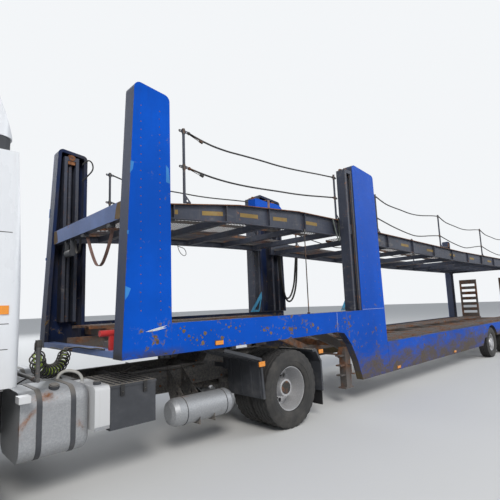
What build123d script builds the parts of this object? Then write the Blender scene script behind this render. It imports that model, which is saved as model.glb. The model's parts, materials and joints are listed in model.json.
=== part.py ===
# Articulated car transporter: a high-roofed tractor unit and a two-deck semi-trailer.
# Millimetres. +X forward, +Y the vehicle's left, +Z up. The origin is on the ground,
# under the middle of the whole vehicle's length and width.
from math import cos, pi, radians, tan
import os

from build123d import *

os.makedirs("parts", exist_ok=True)

# Driving dimensions of the whole vehicle
REAR_END = -9000
DRIVE_AXLE_X = 3600
WHEELBASE = 3950
FRONT_OVERHANG = 1450
COUPLING_LEAD = 600      # the kingpin stands this far ahead of the drive axle
TRAILER_AXLES_X = (-4600, -5900)
HALF_WIDTH = 1275        # outer face of the trailer's side frames
FRONT_AXLE_X = DRIVE_AXLE_X + WHEELBASE
KINGPIN_X = DRIVE_AXLE_X + COUPLING_LEAD
FRONT_END = FRONT_AXLE_X + FRONT_OVERHANG

# Running clearances
SEAT = 0.3            # a face that is carried, from the face that carries it
RUNNING = 5           # a moving piece from one that it passes
DOOR_GAP = 6

# Trailer side frames
PLATE = 12            # posts' sheet
POST_DEPTH = 195      # how far the posts' flanges reach inwards
POST_LIP = 35         # the flanges end in lips
POST_CORNER = 70
BEAM_DEPTH = 120
NECK_BOTTOM = 1160    # gooseneck beam
NECK_TOP = 1480
LOW_BOTTOM = 378      # low side beam
LOW_TOP = 900
POST_TOP = 4050

# Posts' rear and front edges at the foot and at the head
FRONT_POST_FOOT = (5491, 6040)
FRONT_POST_HEAD = (5491, 5915)
MIDDLE_POST_FOOT = (1080, 1818)
MIDDLE_POST_HEAD = (1136, 1818)
REAR_POST_FOOT = (-8700, -8420)
REAR_POST_HEAD = (-8692, -8428)
MIDDLE_POST_DROP = 40     # how much lower than the front posts' heads
REAR_POST_DROP = 250

# Upper decks' edge beams from front to rear, as (x, top, bottom)
FRONT_DECK = ((5950, 2770, 2585), (5360, 2828, 2650), (4300, 2965, 2712), (3060, 3042, 2745), (1850, 3035, 2752))
REAR_DECK = ((1560, 2965, 2690), (-3600, 2835, 2560), (-8640, 2805, 2540))
DECK_GAP = 18             # an edge beam, from the posts' flanges
DECK_OUTER = HALF_WIDTH - POST_DEPTH - DECK_GAP
BEAM_FLANGE = 60          # width of an edge beam's flanges
BEAM_SHEET = 12
STIFFENER = 10
CROSS_HALF = 40           # decks' cross members
CROSS_HEIGHT = 90
END_BEAM = 80             # front deck's end beam
END_POCKET = 150          # its open ends
FRONT_CROSS_X = (5300, 4500, 3700, 2900, 2100)
REAR_CROSS_X = (1400, 300, -800, -1900, -3000, -4100, -5200, -6300, -7400, -8500)

# Hand rail posts, as (x, height, upper eye, lower eye), the last three above the deck
FRONT_RAILS = ((5150, 935, 907, 457), (2040, 794, 744, 380))
REAR_RAILS = ((670, 757, 717, 282), (-2320, 798, 765, 275), (-5310, 798, 765, 275), (-8300, 798, 765, 275))
RAIL_RADIUS = 17
RAIL_INSET = 25           # their axis, from the edge beam's outer face
EYE_REACH = 60
EYE_TIP = 8               # half the height of an eye's blunt tip
ROPE_RADIUS = 12

# Wheel tracks
TRACK_INNER = 380         # from the middle of the vehicle
TRACK_WIDTH = 600
TRACK_THICK = 40          # depth of the turned-down edges
TRACK_SHEET = 8
SLOT_LENGTH = 60          # slots, along the track
SLOT_PITCH = 240
SLOT_EDGE = 90            # from a track's edge to its slots
LASHING_HOLE = (-8300, 460)
LASHING_RADIUS = 20
SOLID_END = 600           # the rear deck's tracks are solid over this length at the rear

# Rear loading ramps, parked upright, and their hinge as (x, z)
RAMP_HINGE = (REAR_END + 27, 885)
RAMP_LENGTH = 1400
RAMP_THICK = 45
PIN_RADIUS = 12

# Deck guides, as the x of each lifting screw
SCREW_RADIUS = 32
SCREW_Y = HALF_WIDTH - 100
GUIDE_BAR = 45
SHOE_HALF = 55
FRONT_SCREWS_X = (5720, 1930)
REAR_SCREWS_X = (1350, -8560)

# Running gear
TYRE_RADIUS = 507
TYRE_WIDTH = 305
RIM_RADIUS = 286
TWIN_SPACING = 342
WHEEL_OUTER_Y = HALF_WIDTH - 40
SMALL_TYRE_RADIUS = 394
SMALL_TYRE_WIDTH = 245
SMALL_RIM_RADIUS = 222
SMALL_WHEEL_OUTER_Y = HALF_WIDTH - 25
ARCH_RADIUS = SMALL_TYRE_RADIUS + 61
HUB_RADIUS = 140
SPINDLE_RADIUS = 45
TYRE_SIDES = 40

STEER_Y = WHEEL_OUTER_Y - 335     # kingpins of the steered wheels
AXLE_Z = 440

# Tractor frame: two channels, open inwards
RAIL_OUTER = 400
RAIL_INNER = 320
RAIL_SHEET = 10
RAIL_TOP = 905
RAIL_BOTTOM = 640
FIFTH_WHEEL_TOP = 1150
FIFTH_WHEEL_PLATE = 50
FRAME_REAR = DRIVE_AXLE_X - 950
FRAME_FRONT = FRONT_END - 240

# Cab
CAB_HALF = HALF_WIDTH - 35
CAB_REAR = FRONT_END - 2110
CAB_BOTTOM = 1055
CAB_SEAM = 3000           # top of the lower cab, under the dark band
BAND = 130
ROOF_TOP = 3900
CAB_WALL = 55
CAB_FACE = FRONT_END - 16
BUMPER_REAR = FRONT_END - 820
BUMPER_TOP = 1012
BUMPER_BOTTOM = 300
BUMPER_WALL = 60
CAB_PIVOT = (FRONT_END - 130, 700)
PIVOT_RADIUS = 20
DOOR_X = (FRONT_END - 1440, FRONT_END - 400)
DOOR_Z = (1120, 2900)
DOOR_KNEE = 2200          # above it the door's front edge leans with the windscreen
SILL_Z = 1960
WINDOW_FRAME = 90
HINGE_Y = CAB_HALF + 14
HINGE_X = DOOR_X[1] + 12
HINGE_RADIUS = 8
SCREEN_LEAN = 0.245       # windscreen, backwards for each unit of height
SCREEN_Z = (2010, 2900)
SCREEN_HALF = CAB_HALF - 230
SCREEN_THICK = 12


def block(x, y, z, mode=Mode.ADD):
    """A box between two x, two y and two z."""
    with Locations(((x[0] + x[1]) / 2, (y[0] + y[1]) / 2, (z[0] + z[1]) / 2)):
        Box(x[1] - x[0], y[1] - y[0], z[1] - z[0], mode=mode)


def side_form(points, y, mode=Mode.ADD):
    """An outline in x and z, made solid between two y."""
    with BuildSketch(Plane.XZ.offset(-y[1])) as profile:
        Polygon(*points, align=None)
    extrude(profile.sketch, amount=y[1] - y[0], mode=mode)


def end_form(points, x, mode=Mode.ADD):
    """An outline in y and z, made solid between two x."""
    with BuildSketch(Plane.YZ.offset(x[0])) as profile:
        Polygon(*points, align=None)
    extrude(profile.sketch, amount=x[1] - x[0], mode=mode)


def rod(start, end, radius, mode=Mode.ADD):
    """A round bar between two points."""
    axis = Vector(*end) - Vector(*start)
    with BuildSketch(Plane(origin=start, z_dir=axis)) as profile:
        Circle(radius)
    extrude(profile.sketch, amount=axis.length, mode=mode)


def both(side, low, high):
    """Two distances from the middle, as y on one side, low to high."""
    return sorted((side * low, side * high))


def line_at(points, x):
    """z at x on a line of (x, z) that runs rearwards."""
    for (x0, z0), (x1, z1) in zip(points, points[1:]):
        if x1 <= x <= x0:
            return z1 + (z0 - z1) * (x - x1) / (x0 - x1)
    return points[0][1] if x > points[0][0] else points[-1][1]


def deck_bottom(sections, x):
    return line_at([(s, b) for s, t, b in sections], x)


def deck_top(sections, x):
    return line_at([(s, t) for s, t, b in sections], x)


def finish(piece, name):
    piece.part.label = name
    export_step(piece.part, f"parts/{name}.step")


# Side posts

def post_outline(foot, head, bottom, top, slope):
    """A post from its rear foot round to its rear head, whose rear corner is lower by slope."""
    return ((foot[0], bottom), (foot[1], bottom), (head[1], top), (head[0], top - slope))


def open_post(foot, head, bottom, top, slope):
    """A folded sheet post, open on the inner side, its flanges turned inwards and lipped but for the foot's."""
    # Each step's outer y, inset from the outline, drop of the foot, depth and mode
    steps = (
        (HALF_WIDTH, 0, 0, POST_DEPTH, Mode.ADD),
        (HALF_WIDTH - PLATE, PLATE, 0, POST_DEPTH - 2 * PLATE, Mode.SUBTRACT),
        (HALF_WIDTH - POST_DEPTH + PLATE, PLATE + POST_LIP, POST_LIP, PLATE, Mode.SUBTRACT),
    )
    for y_outer, inset, drop, depth, mode in steps:
        with BuildSketch(Plane.XZ.offset(-y_outer)) as profile:
            Polygon(*post_outline(foot, head, bottom - drop, top, slope), align=None)
            fillet(vertices().sort_by(Axis.Y)[-2:], POST_CORNER)
            if inset:
                offset(amount=-inset)
        extrude(profile.sketch, amount=depth, mode=mode)


with BuildPart() as front_posts:
    open_post(FRONT_POST_FOOT, FRONT_POST_HEAD, NECK_BOTTOM, POST_TOP, 60)
    mirror(about=Plane.XZ)
finish(front_posts, "front_posts")

# Middle posts with a raking brace ahead of each foot, outline and window in x from the post's front
BRACE = ((-40, 430), (-6, 430), (332, 10), (90, 10))
BRACE_WINDOW = ((32, 280), (222, 50), (107, 50))
with BuildPart() as middle_posts:
    open_post(MIDDLE_POST_FOOT, MIDDLE_POST_HEAD, NECK_TOP, POST_TOP - MIDDLE_POST_DROP, 90)
    for outline, mode in ((BRACE, Mode.ADD), (BRACE_WINDOW, Mode.SUBTRACT)):
        side_form([(MIDDLE_POST_FOOT[1] + x, NECK_TOP + z) for x, z in outline],
                  (HALF_WIDTH - POST_DEPTH, HALF_WIDTH - POST_DEPTH + PLATE), mode=mode)
    mirror(about=Plane.XZ)
finish(middle_posts, "middle_posts")

with BuildPart() as rear_posts:
    open_post(REAR_POST_FOOT, REAR_POST_HEAD, LOW_TOP, POST_TOP - REAR_POST_DROP, 20)
    mirror(about=Plane.XZ)
finish(rear_posts, "rear_posts")

# Gooseneck side beams, which step down behind the tractor's wheels
NECK_REAR = MIDDLE_POST_FOOT[0]
LOW_FRONT = NECK_REAR - 23
NOTCH = ((1930, LOW_BOTTOM), (2050, 700), (2200, 965), (2375, NECK_BOTTOM - 12), (2560, NECK_BOTTOM + 16))
with BuildPart() as neck_sides:
    side_form(
        ((LOW_FRONT, LOW_BOTTOM), *NOTCH, (FRONT_POST_FOOT[0], NECK_BOTTOM), (FRONT_POST_FOOT[0], NECK_TOP),
         (NECK_REAR, NECK_TOP)),
        (HALF_WIDTH - BEAM_DEPTH, HALF_WIDTH),
    )
    mirror(about=Plane.XZ)
finish(neck_sides, "neck_sides")

# Low side beams, arched over the trailer's wheels
LOW_REAR = REAR_END + 75
with BuildPart() as low_beams:
    side_form(
        ((LOW_FRONT, LOW_TOP), (LOW_REAR, LOW_TOP), (LOW_REAR, 640), (-6500, 560), (-4000, 560),
         (-3800, LOW_BOTTOM), (LOW_FRONT, LOW_BOTTOM)),
        (HALF_WIDTH - BEAM_DEPTH, HALF_WIDTH),
    )
    for x in TRAILER_AXLES_X:
        rod((x, HALF_WIDTH - 275, SMALL_TYRE_RADIUS), (x, HALF_WIDTH + 100, SMALL_TYRE_RADIUS), ARCH_RADIUS,
            mode=Mode.SUBTRACT)
    mirror(about=Plane.XZ)
finish(low_beams, "low_beams")

# Guide channels and lifting screws, as (x, bottom, top), with a rope sheave at each head
GUIDES = (
    (FRONT_SCREWS_X[0], NECK_TOP + 10, POST_TOP - 170), (FRONT_SCREWS_X[1], NECK_TOP, POST_TOP - 230),
    (REAR_SCREWS_X[0], NECK_TOP + 12, POST_TOP - 230), (REAR_SCREWS_X[1], LOW_TOP + 12, POST_TOP - 400),
)
GUIDE_CAP = 60
SHEAVE_RADIUS = 26
with BuildPart() as guides:
    inner = SHOE_HALF + RUNNING
    depth = (HALF_WIDTH - POST_DEPTH + PLATE + SEAT, HALF_WIDTH - PLATE)
    for x, bottom, top in GUIDES:
        for side in (-1, 1):
            block(both(1, x + side * inner, x + side * (inner + GUIDE_BAR)), depth, (bottom, top))
        block((x - inner - GUIDE_BAR, x + inner + GUIDE_BAR), depth, (top, top + GUIDE_CAP))
        rod((x, SCREW_Y, bottom), (x, SCREW_Y, top), SCREW_RADIUS)
        sheave_z = top + GUIDE_CAP + SHEAVE_RADIUS - 8
        rod((x, SCREW_Y - 25, sheave_z), (x, SCREW_Y + 25, sheave_z), SHEAVE_RADIUS)
    mirror(about=Plane.XZ)
finish(guides, "guides")

# Two bent rails under the load floor, from the gooseneck down to the rear
RAIL_SPREAD = (520, 600)      # a rail's inner and outer y
NECK_RAIL_BOTTOM = NECK_BOTTOM + 6
NECK_CROSS_BOTTOM = 1300      # cross members lie on the rails
NECK_CROSS_TOP = 1400
LOW_CROSS_BOTTOM = 740
LOW_RAIL_BOTTOM = 640
SILL_X = (FRONT_POST_FOOT[1] - 140, FRONT_POST_FOOT[1] - 5)
with BuildPart() as frame_rails:
    side_form(
        ((SILL_X[0] - SEAT, NECK_RAIL_BOTTOM), (SILL_X[0] - SEAT, NECK_CROSS_BOTTOM), (2460, NECK_CROSS_BOTTOM),
         (1040, LOW_CROSS_BOTTOM), (REAR_END + 100, LOW_CROSS_BOTTOM), (REAR_END + 100, LOW_RAIL_BOTTOM),
         (1140, LOW_RAIL_BOTTOM), (2520, NECK_RAIL_BOTTOM)),
        RAIL_SPREAD,
    )
    mirror(about=Plane.XZ)
finish(frame_rails, "frame_rails")

# The coiled supply line from the tractor's stand down and across to the front sill
COIL_ROUTE = (
    (6720, 1090, 1319), (6690, 965, 1195), (6600, 770, 1100), (6450, 570, 1052), (6310, 375, 1058),
    (6200, 190, 1120), (6125, 0, 1200),
)
COIL_RADIUS = 60
COIL_PLUG = 20


def past_end(end, before, distance):
    """A point beyond a route's end, in line with its last run."""
    step = (Vector(*end) - Vector(*before)).normalized()
    return tuple(Vector(*end) + step * distance)


# Cross members over the rails, the front sill, and the lugs and pins of the loading ramps
NECK_CROSS_X = (5440, 4900, 3600, 2540)
LOW_CROSS_X = (700, -400, -1600, -2800, -3850, -5250, -6650, -7750)
REAR_CROSS = (REAR_END + 100, REAR_END + 200)
LUG = 25                      # thickness
SILL_TOP = 1230
with BuildPart() as crossmembers:
    inner = HALF_WIDTH - BEAM_DEPTH
    block(SILL_X, (POST_DEPTH - HALF_WIDTH, HALF_WIDTH - POST_DEPTH), (NECK_RAIL_BOTTOM, SILL_TOP))
    for x in NECK_CROSS_X:
        block((x - 40, x + 40), (-inner, inner), (NECK_CROSS_BOTTOM, NECK_CROSS_TOP))
    for x in LOW_CROSS_X:
        block((x - 50, x + 50), (-inner, inner), (LOW_CROSS_BOTTOM, LOW_TOP - TRACK_THICK))
    block(REAR_CROSS, (-inner, inner), (LOW_CROSS_BOTTOM, LOW_TOP - TRACK_THICK))
    for side in (-1, 1):
        for low, into in ((TRACK_INNER - RUNNING - LUG, 1), (TRACK_INNER + TRACK_WIDTH + RUNNING, -1)):
            lug = both(side, low, low + LUG)
            side_form(((REAR_CROSS[0], 760), (REAR_CROSS[0], 860), (REAR_END + 45, 905), (REAR_END + 5, 905),
                       (REAR_END + 5, 865), (REAR_END + 50, 780)), lug)
            pin = both(side, low, low + 2 * LUG) if into > 0 else both(side, low - LUG, low + LUG)
            rod((RAMP_HINGE[0], pin[0], RAMP_HINGE[1]), (RAMP_HINGE[0], pin[1], RAMP_HINGE[1]), PIN_RADIUS)
    # Socket of the coiled supply line, on the sill's front face
    socket = past_end(COIL_ROUTE[-1], COIL_ROUTE[-2], 40)
    rod(past_end(COIL_ROUTE[-1], COIL_ROUTE[-2], SEAT), socket, COIL_PLUG)
    rod(socket, (SILL_X[1] - 5, socket[1], SILL_TOP - 35), COIL_PLUG)
finish(crossmembers, "crossmembers")

# Coupling plate with its kingpin
PIN_SHANK = 25.4
with BuildPart() as kingpin_plate:
    block((KINGPIN_X - 700, KINGPIN_X + 1700), (-520, 520), (FIFTH_WHEEL_TOP + SEAT, NECK_RAIL_BOTTOM))
    rod((KINGPIN_X, 0, FIFTH_WHEEL_TOP - 84), (KINGPIN_X, 0, FIFTH_WHEEL_TOP + 5), PIN_SHANK)
finish(kingpin_plate, "kingpin_plate")


def track(top_points, slots, hollow_to):
    """A pair of sheet tracks under a line of (x, z), with turned-down edges and a row of slots."""
    outer = (TRACK_INNER, TRACK_INNER + TRACK_WIDTH)
    lower = tuple((x, z - TRACK_THICK) for x, z in reversed(top_points))
    side_form((*top_points, *lower), outer)
    cut = [(x, z - TRACK_SHEET) for x, z in top_points if x > hollow_to]
    cut.append((hollow_to, line_at(top_points, hollow_to) - TRACK_SHEET))
    below = tuple((x, z - 2 * TRACK_THICK) for x, z in reversed(cut))
    side_form((*cut, *below), (outer[0] + TRACK_SHEET, outer[1] - TRACK_SHEET), mode=Mode.SUBTRACT)
    for x in slots:
        z = line_at(top_points, x)
        block((x, x + SLOT_LENGTH), (outer[0] + SLOT_EDGE, outer[1] - SLOT_EDGE),
              (z - 3 * TRACK_THICK, z + 3 * TRACK_THICK), mode=Mode.SUBTRACT)
    mirror(about=Plane.XZ)


with BuildPart() as lower_tracks:
    top = ((SILL_X[0] - 195, NECK_CROSS_TOP + TRACK_THICK), (2300, NECK_CROSS_TOP + TRACK_THICK), (980, LOW_TOP), (LOW_REAR, LOW_TOP))
    track(top, range(-8600, 880, SLOT_PITCH), LOW_REAR + TRACK_SHEET)
finish(lower_tracks, "lower_tracks")

# Trailer axles with their trailing arms and air springs
ARM_Y = (520, 600)
with BuildPart() as trailer_axles:
    for x in TRAILER_AXLES_X:
        stub = SMALL_WHEEL_OUTER_Y - SMALL_TYRE_WIDTH
        rod((x, -stub + 45, SMALL_TYRE_RADIUS), (x, stub - 45, SMALL_TYRE_RADIUS), 65)
        for side in (-1, 1):
            rod((x, side * (stub - 105), SMALL_TYRE_RADIUS), (x, side * (stub + 75), SMALL_TYRE_RADIUS), SPINDLE_RADIUS)
            side_form(((x - 260, 380), (x + 420, 420), (x + 440, LOW_RAIL_BOTTOM), (x + 320, LOW_RAIL_BOTTOM),
                       (x + 300, 500), (x - 260, 460)), both(side, *ARM_Y))
            middle = side * sum(ARM_Y) / 2
            rod((x - 180, middle, 460), (x - 180, middle, LOW_RAIL_BOTTOM), 110)
finish(trailer_axles, "trailer_axles")

# Landing legs: a channel with three rungs beside it, and a foot
LEG_X = (2080, 2220)
LEG_Y = (HALF_WIDTH - BEAM_DEPTH - SEAT - 120, HALF_WIDTH - BEAM_DEPTH - SEAT)
LEG_SHEET = 12
with BuildPart() as landing_legs:
    block(LEG_X, LEG_Y, (290, RAIL_TOP))
    block((LEG_X[0] + LEG_SHEET, LEG_X[1] - LEG_SHEET), (LEG_Y[0] - 1, LEG_Y[1] - LEG_SHEET), (320, 880),
          mode=Mode.SUBTRACT)
    block((LEG_X[0] - 40, LEG_X[1] + 40), (LEG_Y[0] - 20, LEG_Y[1]), (270, 290))
    for z in (470, 620, 770):
        block((LEG_X[1], LEG_X[1] + 110), (LEG_Y[0] + 5, LEG_Y[1] - 15), (z, z + 22))
    block((LEG_X[0] - 290, LEG_X[0]), (LEG_Y[0] + 5, LEG_Y[1] - 15), (820, 900))
    mirror(about=Plane.XZ)
finish(landing_legs, "landing_legs")

# Rear guard, a rounded bar on two arms
GUARD_X = (REAR_END + 50, REAR_END + 150)
GUARD_Z = (430, 550)
with BuildPart() as rear_bumper:
    with BuildSketch(Plane.XZ.offset(-HALF_WIDTH + 125)) as profile:
        with Locations((sum(GUARD_X) / 2, sum(GUARD_Z) / 2)):
            RectangleRounded(GUARD_X[1] - GUARD_X[0], GUARD_Z[1] - GUARD_Z[0], 25)
    extrude(profile.sketch, amount=2 * HALF_WIDTH - 250)
    for y in (-560, 560):
        block((GUARD_X[0] + 10, GUARD_X[1] - 10), (y - 40, y + 40), (GUARD_Z[1], LOW_RAIL_BOTTOM))
finish(rear_bumper, "rear_bumper")

# Side markers, as (x, z), and round rear lamps on a plate
MARKERS = ((4870, 1225), (740, 430), (-1900, 430), (-7400, 700))
LAMP_Y = (800, 930, 1060)
LAMP_RADIUS = 48
with BuildPart() as trailer_lamps:
    for x, z in MARKERS:
        block((x - 55, x + 55), (HALF_WIDTH, HALF_WIDTH + 14), (z - 22, z + 22))
    block((GUARD_X[0] - 12, GUARD_X[0]), (LAMP_Y[0] - 70, LAMP_Y[-1] + 70), (GUARD_Z[0] + 5, GUARD_Z[1] - 5))
    for y in LAMP_Y:
        rod((GUARD_X[0] - 12, y, 490), (GUARD_X[0] - 30, y, 490), LAMP_RADIUS)
    mirror(about=Plane.XZ)
finish(trailer_lamps, "trailer_lamps")

# A red tube with its bracket on the front sill
with BuildPart() as extinguisher:
    tube_z = SILL_TOP + 174
    rod((SILL_X[1] + 65, 900, tube_z), (SILL_X[1] - 315, 900, tube_z), 32)
    block((SILL_X[1] - 85, SILL_X[1] - 35), (880, 920), (SILL_TOP, tube_z - 24))
finish(extinguisher, "extinguisher")


# Upper decks

def deck_frame(sections, cross_x, screws_x):
    """Channel edge beams with stiffeners, cross members, and the shoes that ride on the screws."""
    top = [(x, t) for x, t, b in sections]
    bottom = [(x, b) for x, t, b in reversed(sections)]
    web = DECK_OUTER - BEAM_FLANGE
    side_form((*top, *bottom), (web, DECK_OUTER))
    with BuildSketch(Plane.XZ.offset(-DECK_OUTER)) as profile:
        Polygon(*top, *bottom, align=None)
        offset(amount=-BEAM_SHEET)
    extrude(profile.sketch, amount=BEAM_FLANGE - BEAM_SHEET, mode=Mode.SUBTRACT)
    for x in cross_x:
        low = max(deck_bottom(sections, x), deck_bottom(sections, x + STIFFENER)) + 2
        high = min(deck_top(sections, x), deck_top(sections, x + STIFFENER)) - 2
        block((x, x + STIFFENER), (web, DECK_OUTER - 6), (low, high))
    for x in screws_x:
        z = deck_bottom(sections, x)
        block((x - SHOE_HALF, x + SHOE_HALF), (web, SCREW_Y + SHOE_HALF), (z + 10, z + 175))
        rod((x, SCREW_Y, z - 100), (x, SCREW_Y, z + 400), SCREW_RADIUS + SEAT, mode=Mode.SUBTRACT)
    mirror(about=Plane.XZ)
    for x in cross_x:
        z = min(deck_bottom(sections, x - CROSS_HALF), deck_bottom(sections, x + CROSS_HALF))
        block((x - CROSS_HALF, x + CROSS_HALF), (-web, web), (z, z + CROSS_HEIGHT - SEAT))


with BuildPart() as front_deck_frame:
    deck_frame(FRONT_DECK, FRONT_CROSS_X, FRONT_SCREWS_X)
    # End beam, open at its ends
    x0, top0, bottom0 = FRONT_DECK[0]
    block((x0 - END_BEAM, x0), (-DECK_OUTER, DECK_OUTER), (bottom0, top0))
    for side in (-1, 1):
        block((x0 - END_BEAM + BEAM_SHEET, x0 - BEAM_SHEET), both(side, DECK_OUTER - END_POCKET, DECK_OUTER + 1),
              (bottom0 + BEAM_SHEET, top0 - BEAM_SHEET), mode=Mode.SUBTRACT)
finish(front_deck_frame, "front_deck_frame")

with BuildPart() as rear_deck_frame:
    deck_frame(REAR_DECK, REAR_CROSS_X, REAR_SCREWS_X)
finish(rear_deck_frame, "rear_deck_frame")


def deck_track(sections, slots, hollow_to):
    top = [(x, b + CROSS_HEIGHT + TRACK_THICK) for x, t, b in sections]
    start = sections[0][0] - END_BEAM - SEAT
    top[0] = (start, line_at(top, start))
    track(top, slots, hollow_to)


with BuildPart() as front_deck_tracks:
    deck_track(FRONT_DECK, range(1960, 5700, SLOT_PITCH), FRONT_DECK[-1][0] + TRACK_SHEET)
finish(front_deck_tracks, "front_deck_tracks")

with BuildPart() as rear_deck_tracks:
    rear = REAR_DECK[-1][0]
    deck_track(REAR_DECK, range(rear + SOLID_END + 60, 1300, SLOT_PITCH), rear + SOLID_END)
    # Lashing holes for wheel straps
    x, y = LASHING_HOLE
    z = deck_bottom(REAR_DECK, x) + CROSS_HEIGHT + TRACK_THICK
    for side in (-1, 1):
        rod((x, side * y, z - 100), (x, side * y, z + 100), LASHING_RADIUS, mode=Mode.SUBTRACT)
finish(rear_deck_tracks, "rear_deck_tracks")

# Hand rail posts with a holed foot gusset and triangular eyes
RAIL_Y = DECK_OUTER - RAIL_INSET
EAR_SHEET = 8
GUSSET = (90, 120)            # length and height
EYE_HOLE = 7


def rail_posts(sections, rails):
    for x, height, *eyes in rails:
        foot = max(deck_top(sections, x + RAIL_RADIUS), deck_top(sections, x - GUSSET[0])) + SEAT
        deck = deck_top(sections, x)
        rod((x, RAIL_Y, foot), (x, RAIL_Y, deck + height), RAIL_RADIUS)
        with BuildSketch(Plane.XZ.offset(-RAIL_Y - EAR_SHEET / 2)) as profile:
            Polygon((x, foot), (x, foot + GUSSET[1]), (x - GUSSET[0], foot + 20), (x - GUSSET[0], foot), align=None)
            with Locations((x - 42, foot + 32)):
                Circle(14, mode=Mode.SUBTRACT)
            for eye in eyes:
                z = deck + eye
                Polygon((x, z + 30), (x + EYE_REACH, z + EYE_TIP), (x + EYE_REACH, z - EYE_TIP), (x, z - 30),
                        (x - EYE_REACH, z - EYE_TIP), (x - EYE_REACH, z + EYE_TIP), align=None)
                with Locations((x - EYE_REACH + 14, z), (x + EYE_REACH - 14, z)):
                    Circle(EYE_HOLE, mode=Mode.SUBTRACT)
        extrude(profile.sketch, amount=EAR_SHEET)
    mirror(about=Plane.XZ)


with BuildPart() as front_deck_rails:
    rail_posts(FRONT_DECK, FRONT_RAILS)
finish(front_deck_rails, "front_deck_rails")

with BuildPart() as rear_deck_rails:
    rail_posts(REAR_DECK, REAR_RAILS)
finish(rear_deck_rails, "rear_deck_rails")

# Slack ropes between the rail posts, as (share of the span, drop below the straight line)
FRONT_UPPER_ROPE = ((0.08, 62), (0.19, 93), (0.31, 84), (0.43, 78), (0.54, 82), (0.66, 68), (0.78, 43), (0.89, 18))
FRONT_LOWER_ROPE = ((0.08, 47), (0.19, 82), (0.31, 93), (0.43, 87), (0.54, 76), (0.66, 70), (0.78, 51), (0.89, 24))
REAR_UPPER_ROPE = ((0.1, 84), (0.21, 108), (0.33, 118), (0.45, 137), (0.56, 136), (0.67, 112), (0.78, 75), (0.9, 26))
REAR_LOWER_ROPE = ((0.1, 44), (0.21, 88), (0.33, 122), (0.44, 147), (0.55, 160), (0.67, 125), (0.78, 78), (0.9, 32))


def smooth_tube(points, sides, radius):
    """A tube of straight runs joined by tangent arcs, each as large as its two runs allow."""
    radii = []
    for a, b, c in zip(points, points[1:], points[2:]):
        before, after = Vector(*b) - Vector(*a), Vector(*c) - Vector(*b)
        half_turn = radians(before.get_angle(after)) / 2
        radii.append(0.45 * min(before.length, after.length) / tan(half_turn))
    with BuildLine() as route:
        FilletPolyline(*points, radius=radii)
    with BuildSketch(Plane(origin=points[0], z_dir=route.line % 0)) as profile:
        if sides:
            RegularPolygon(radius, sides)
        else:
            Circle(radius)
    sweep(profile.sketch, path=route.line)
    return min(radii), sum(edge.length for edge in route.edges())


def rope(sections, start, end, eye, lay):
    """A rope from one post's eye to the next one's, both as rows of the rail tables."""
    x0, z0 = start[0] - EYE_REACH, deck_top(sections, start[0]) + start[eye]
    x1, z1 = end[0] + EYE_REACH, deck_top(sections, end[0]) + end[eye]
    points = [(x0 + (x1 - x0) * t, RAIL_Y, z0 + (z1 - z0) * t - drop) for t, drop in ((0, 0), *lay, (1, 0))]
    # A rope's end face leans with its run, so it starts clear of the eye's tip by that much
    for tip, near in ((0, 1), (-1, -2)):
        run = Vector(*points[near]) - Vector(*points[tip])
        step = SEAT + EYE_TIP * abs(run.Z / run.X)
        points[tip] = tuple(Vector(*points[tip]) + run.normalized() * step)
    radius, length = smooth_tube(points, 6, ROPE_RADIUS)
    print(f"rope from x {start[0]}, eye {eye - 1}: smallest radius {radius:.0f}, length {length:.0f}")


with BuildPart() as front_deck_ropes:
    rope(FRONT_DECK, *FRONT_RAILS, 2, FRONT_UPPER_ROPE)
    rope(FRONT_DECK, *FRONT_RAILS, 3, FRONT_LOWER_ROPE)
    mirror(about=Plane.XZ)
finish(front_deck_ropes, "front_deck_ropes")

with BuildPart() as rear_deck_ropes:
    for start, end in zip(REAR_RAILS, REAR_RAILS[1:]):
        rope(REAR_DECK, start, end, 2, REAR_UPPER_ROPE)
        rope(REAR_DECK, start, end, 3, REAR_LOWER_ROPE)
    mirror(about=Plane.XZ)
finish(rear_deck_ropes, "rear_deck_ropes")

# A blue wedge chock on the front deck's left edge beam
CHOCK_X = (3440, 3990)
CHOCK_HEIGHT = 118
with BuildPart() as wheel_chock:
    low = [(x, deck_top(FRONT_DECK, x) + SEAT) for x in CHOCK_X]
    side_form(
        (low[0], low[1], (CHOCK_X[1], low[1][1] + CHOCK_HEIGHT), (CHOCK_X[1] - 60, low[1][1] + CHOCK_HEIGHT + 4),
         (CHOCK_X[1] - 230, low[1][1] + CHOCK_HEIGHT - 16), (CHOCK_X[0] + 120, low[0][1] + 62),
         (CHOCK_X[0] + 50, low[0][1] + 46)),
        (DECK_OUTER - 150, DECK_OUTER - 10),
    )
finish(wheel_chock, "wheel_chock")

# Rear loading ramps, parked upright: a plate with six windows between its treads
WINDOW = 90
WINDOW_PITCH = 200
for name, side in (("left", 1), ("right", -1)):
    with BuildPart() as ramp:
        y = both(side, TRACK_INNER, TRACK_INNER + TRACK_WIDTH)
        block((REAR_END, REAR_END + RAMP_THICK), y, (RAMP_HINGE[1] - 20, RAMP_HINGE[1] + RAMP_LENGTH))
        rod((RAMP_HINGE[0], y[0] - 5, RAMP_HINGE[1]), (RAMP_HINGE[0], y[1] + 5, RAMP_HINGE[1]), PIN_RADIUS + SEAT,
            mode=Mode.SUBTRACT)
        for k in range(6):
            z = RAMP_HINGE[1] + 150 + WINDOW_PITCH * k
            block((REAR_END - 10, REAR_END + RAMP_THICK + 10), (y[0] + 60, y[1] - 60), (z, z + WINDOW),
                  mode=Mode.SUBTRACT)
    finish(ramp, f"ramp_{name}")

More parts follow.
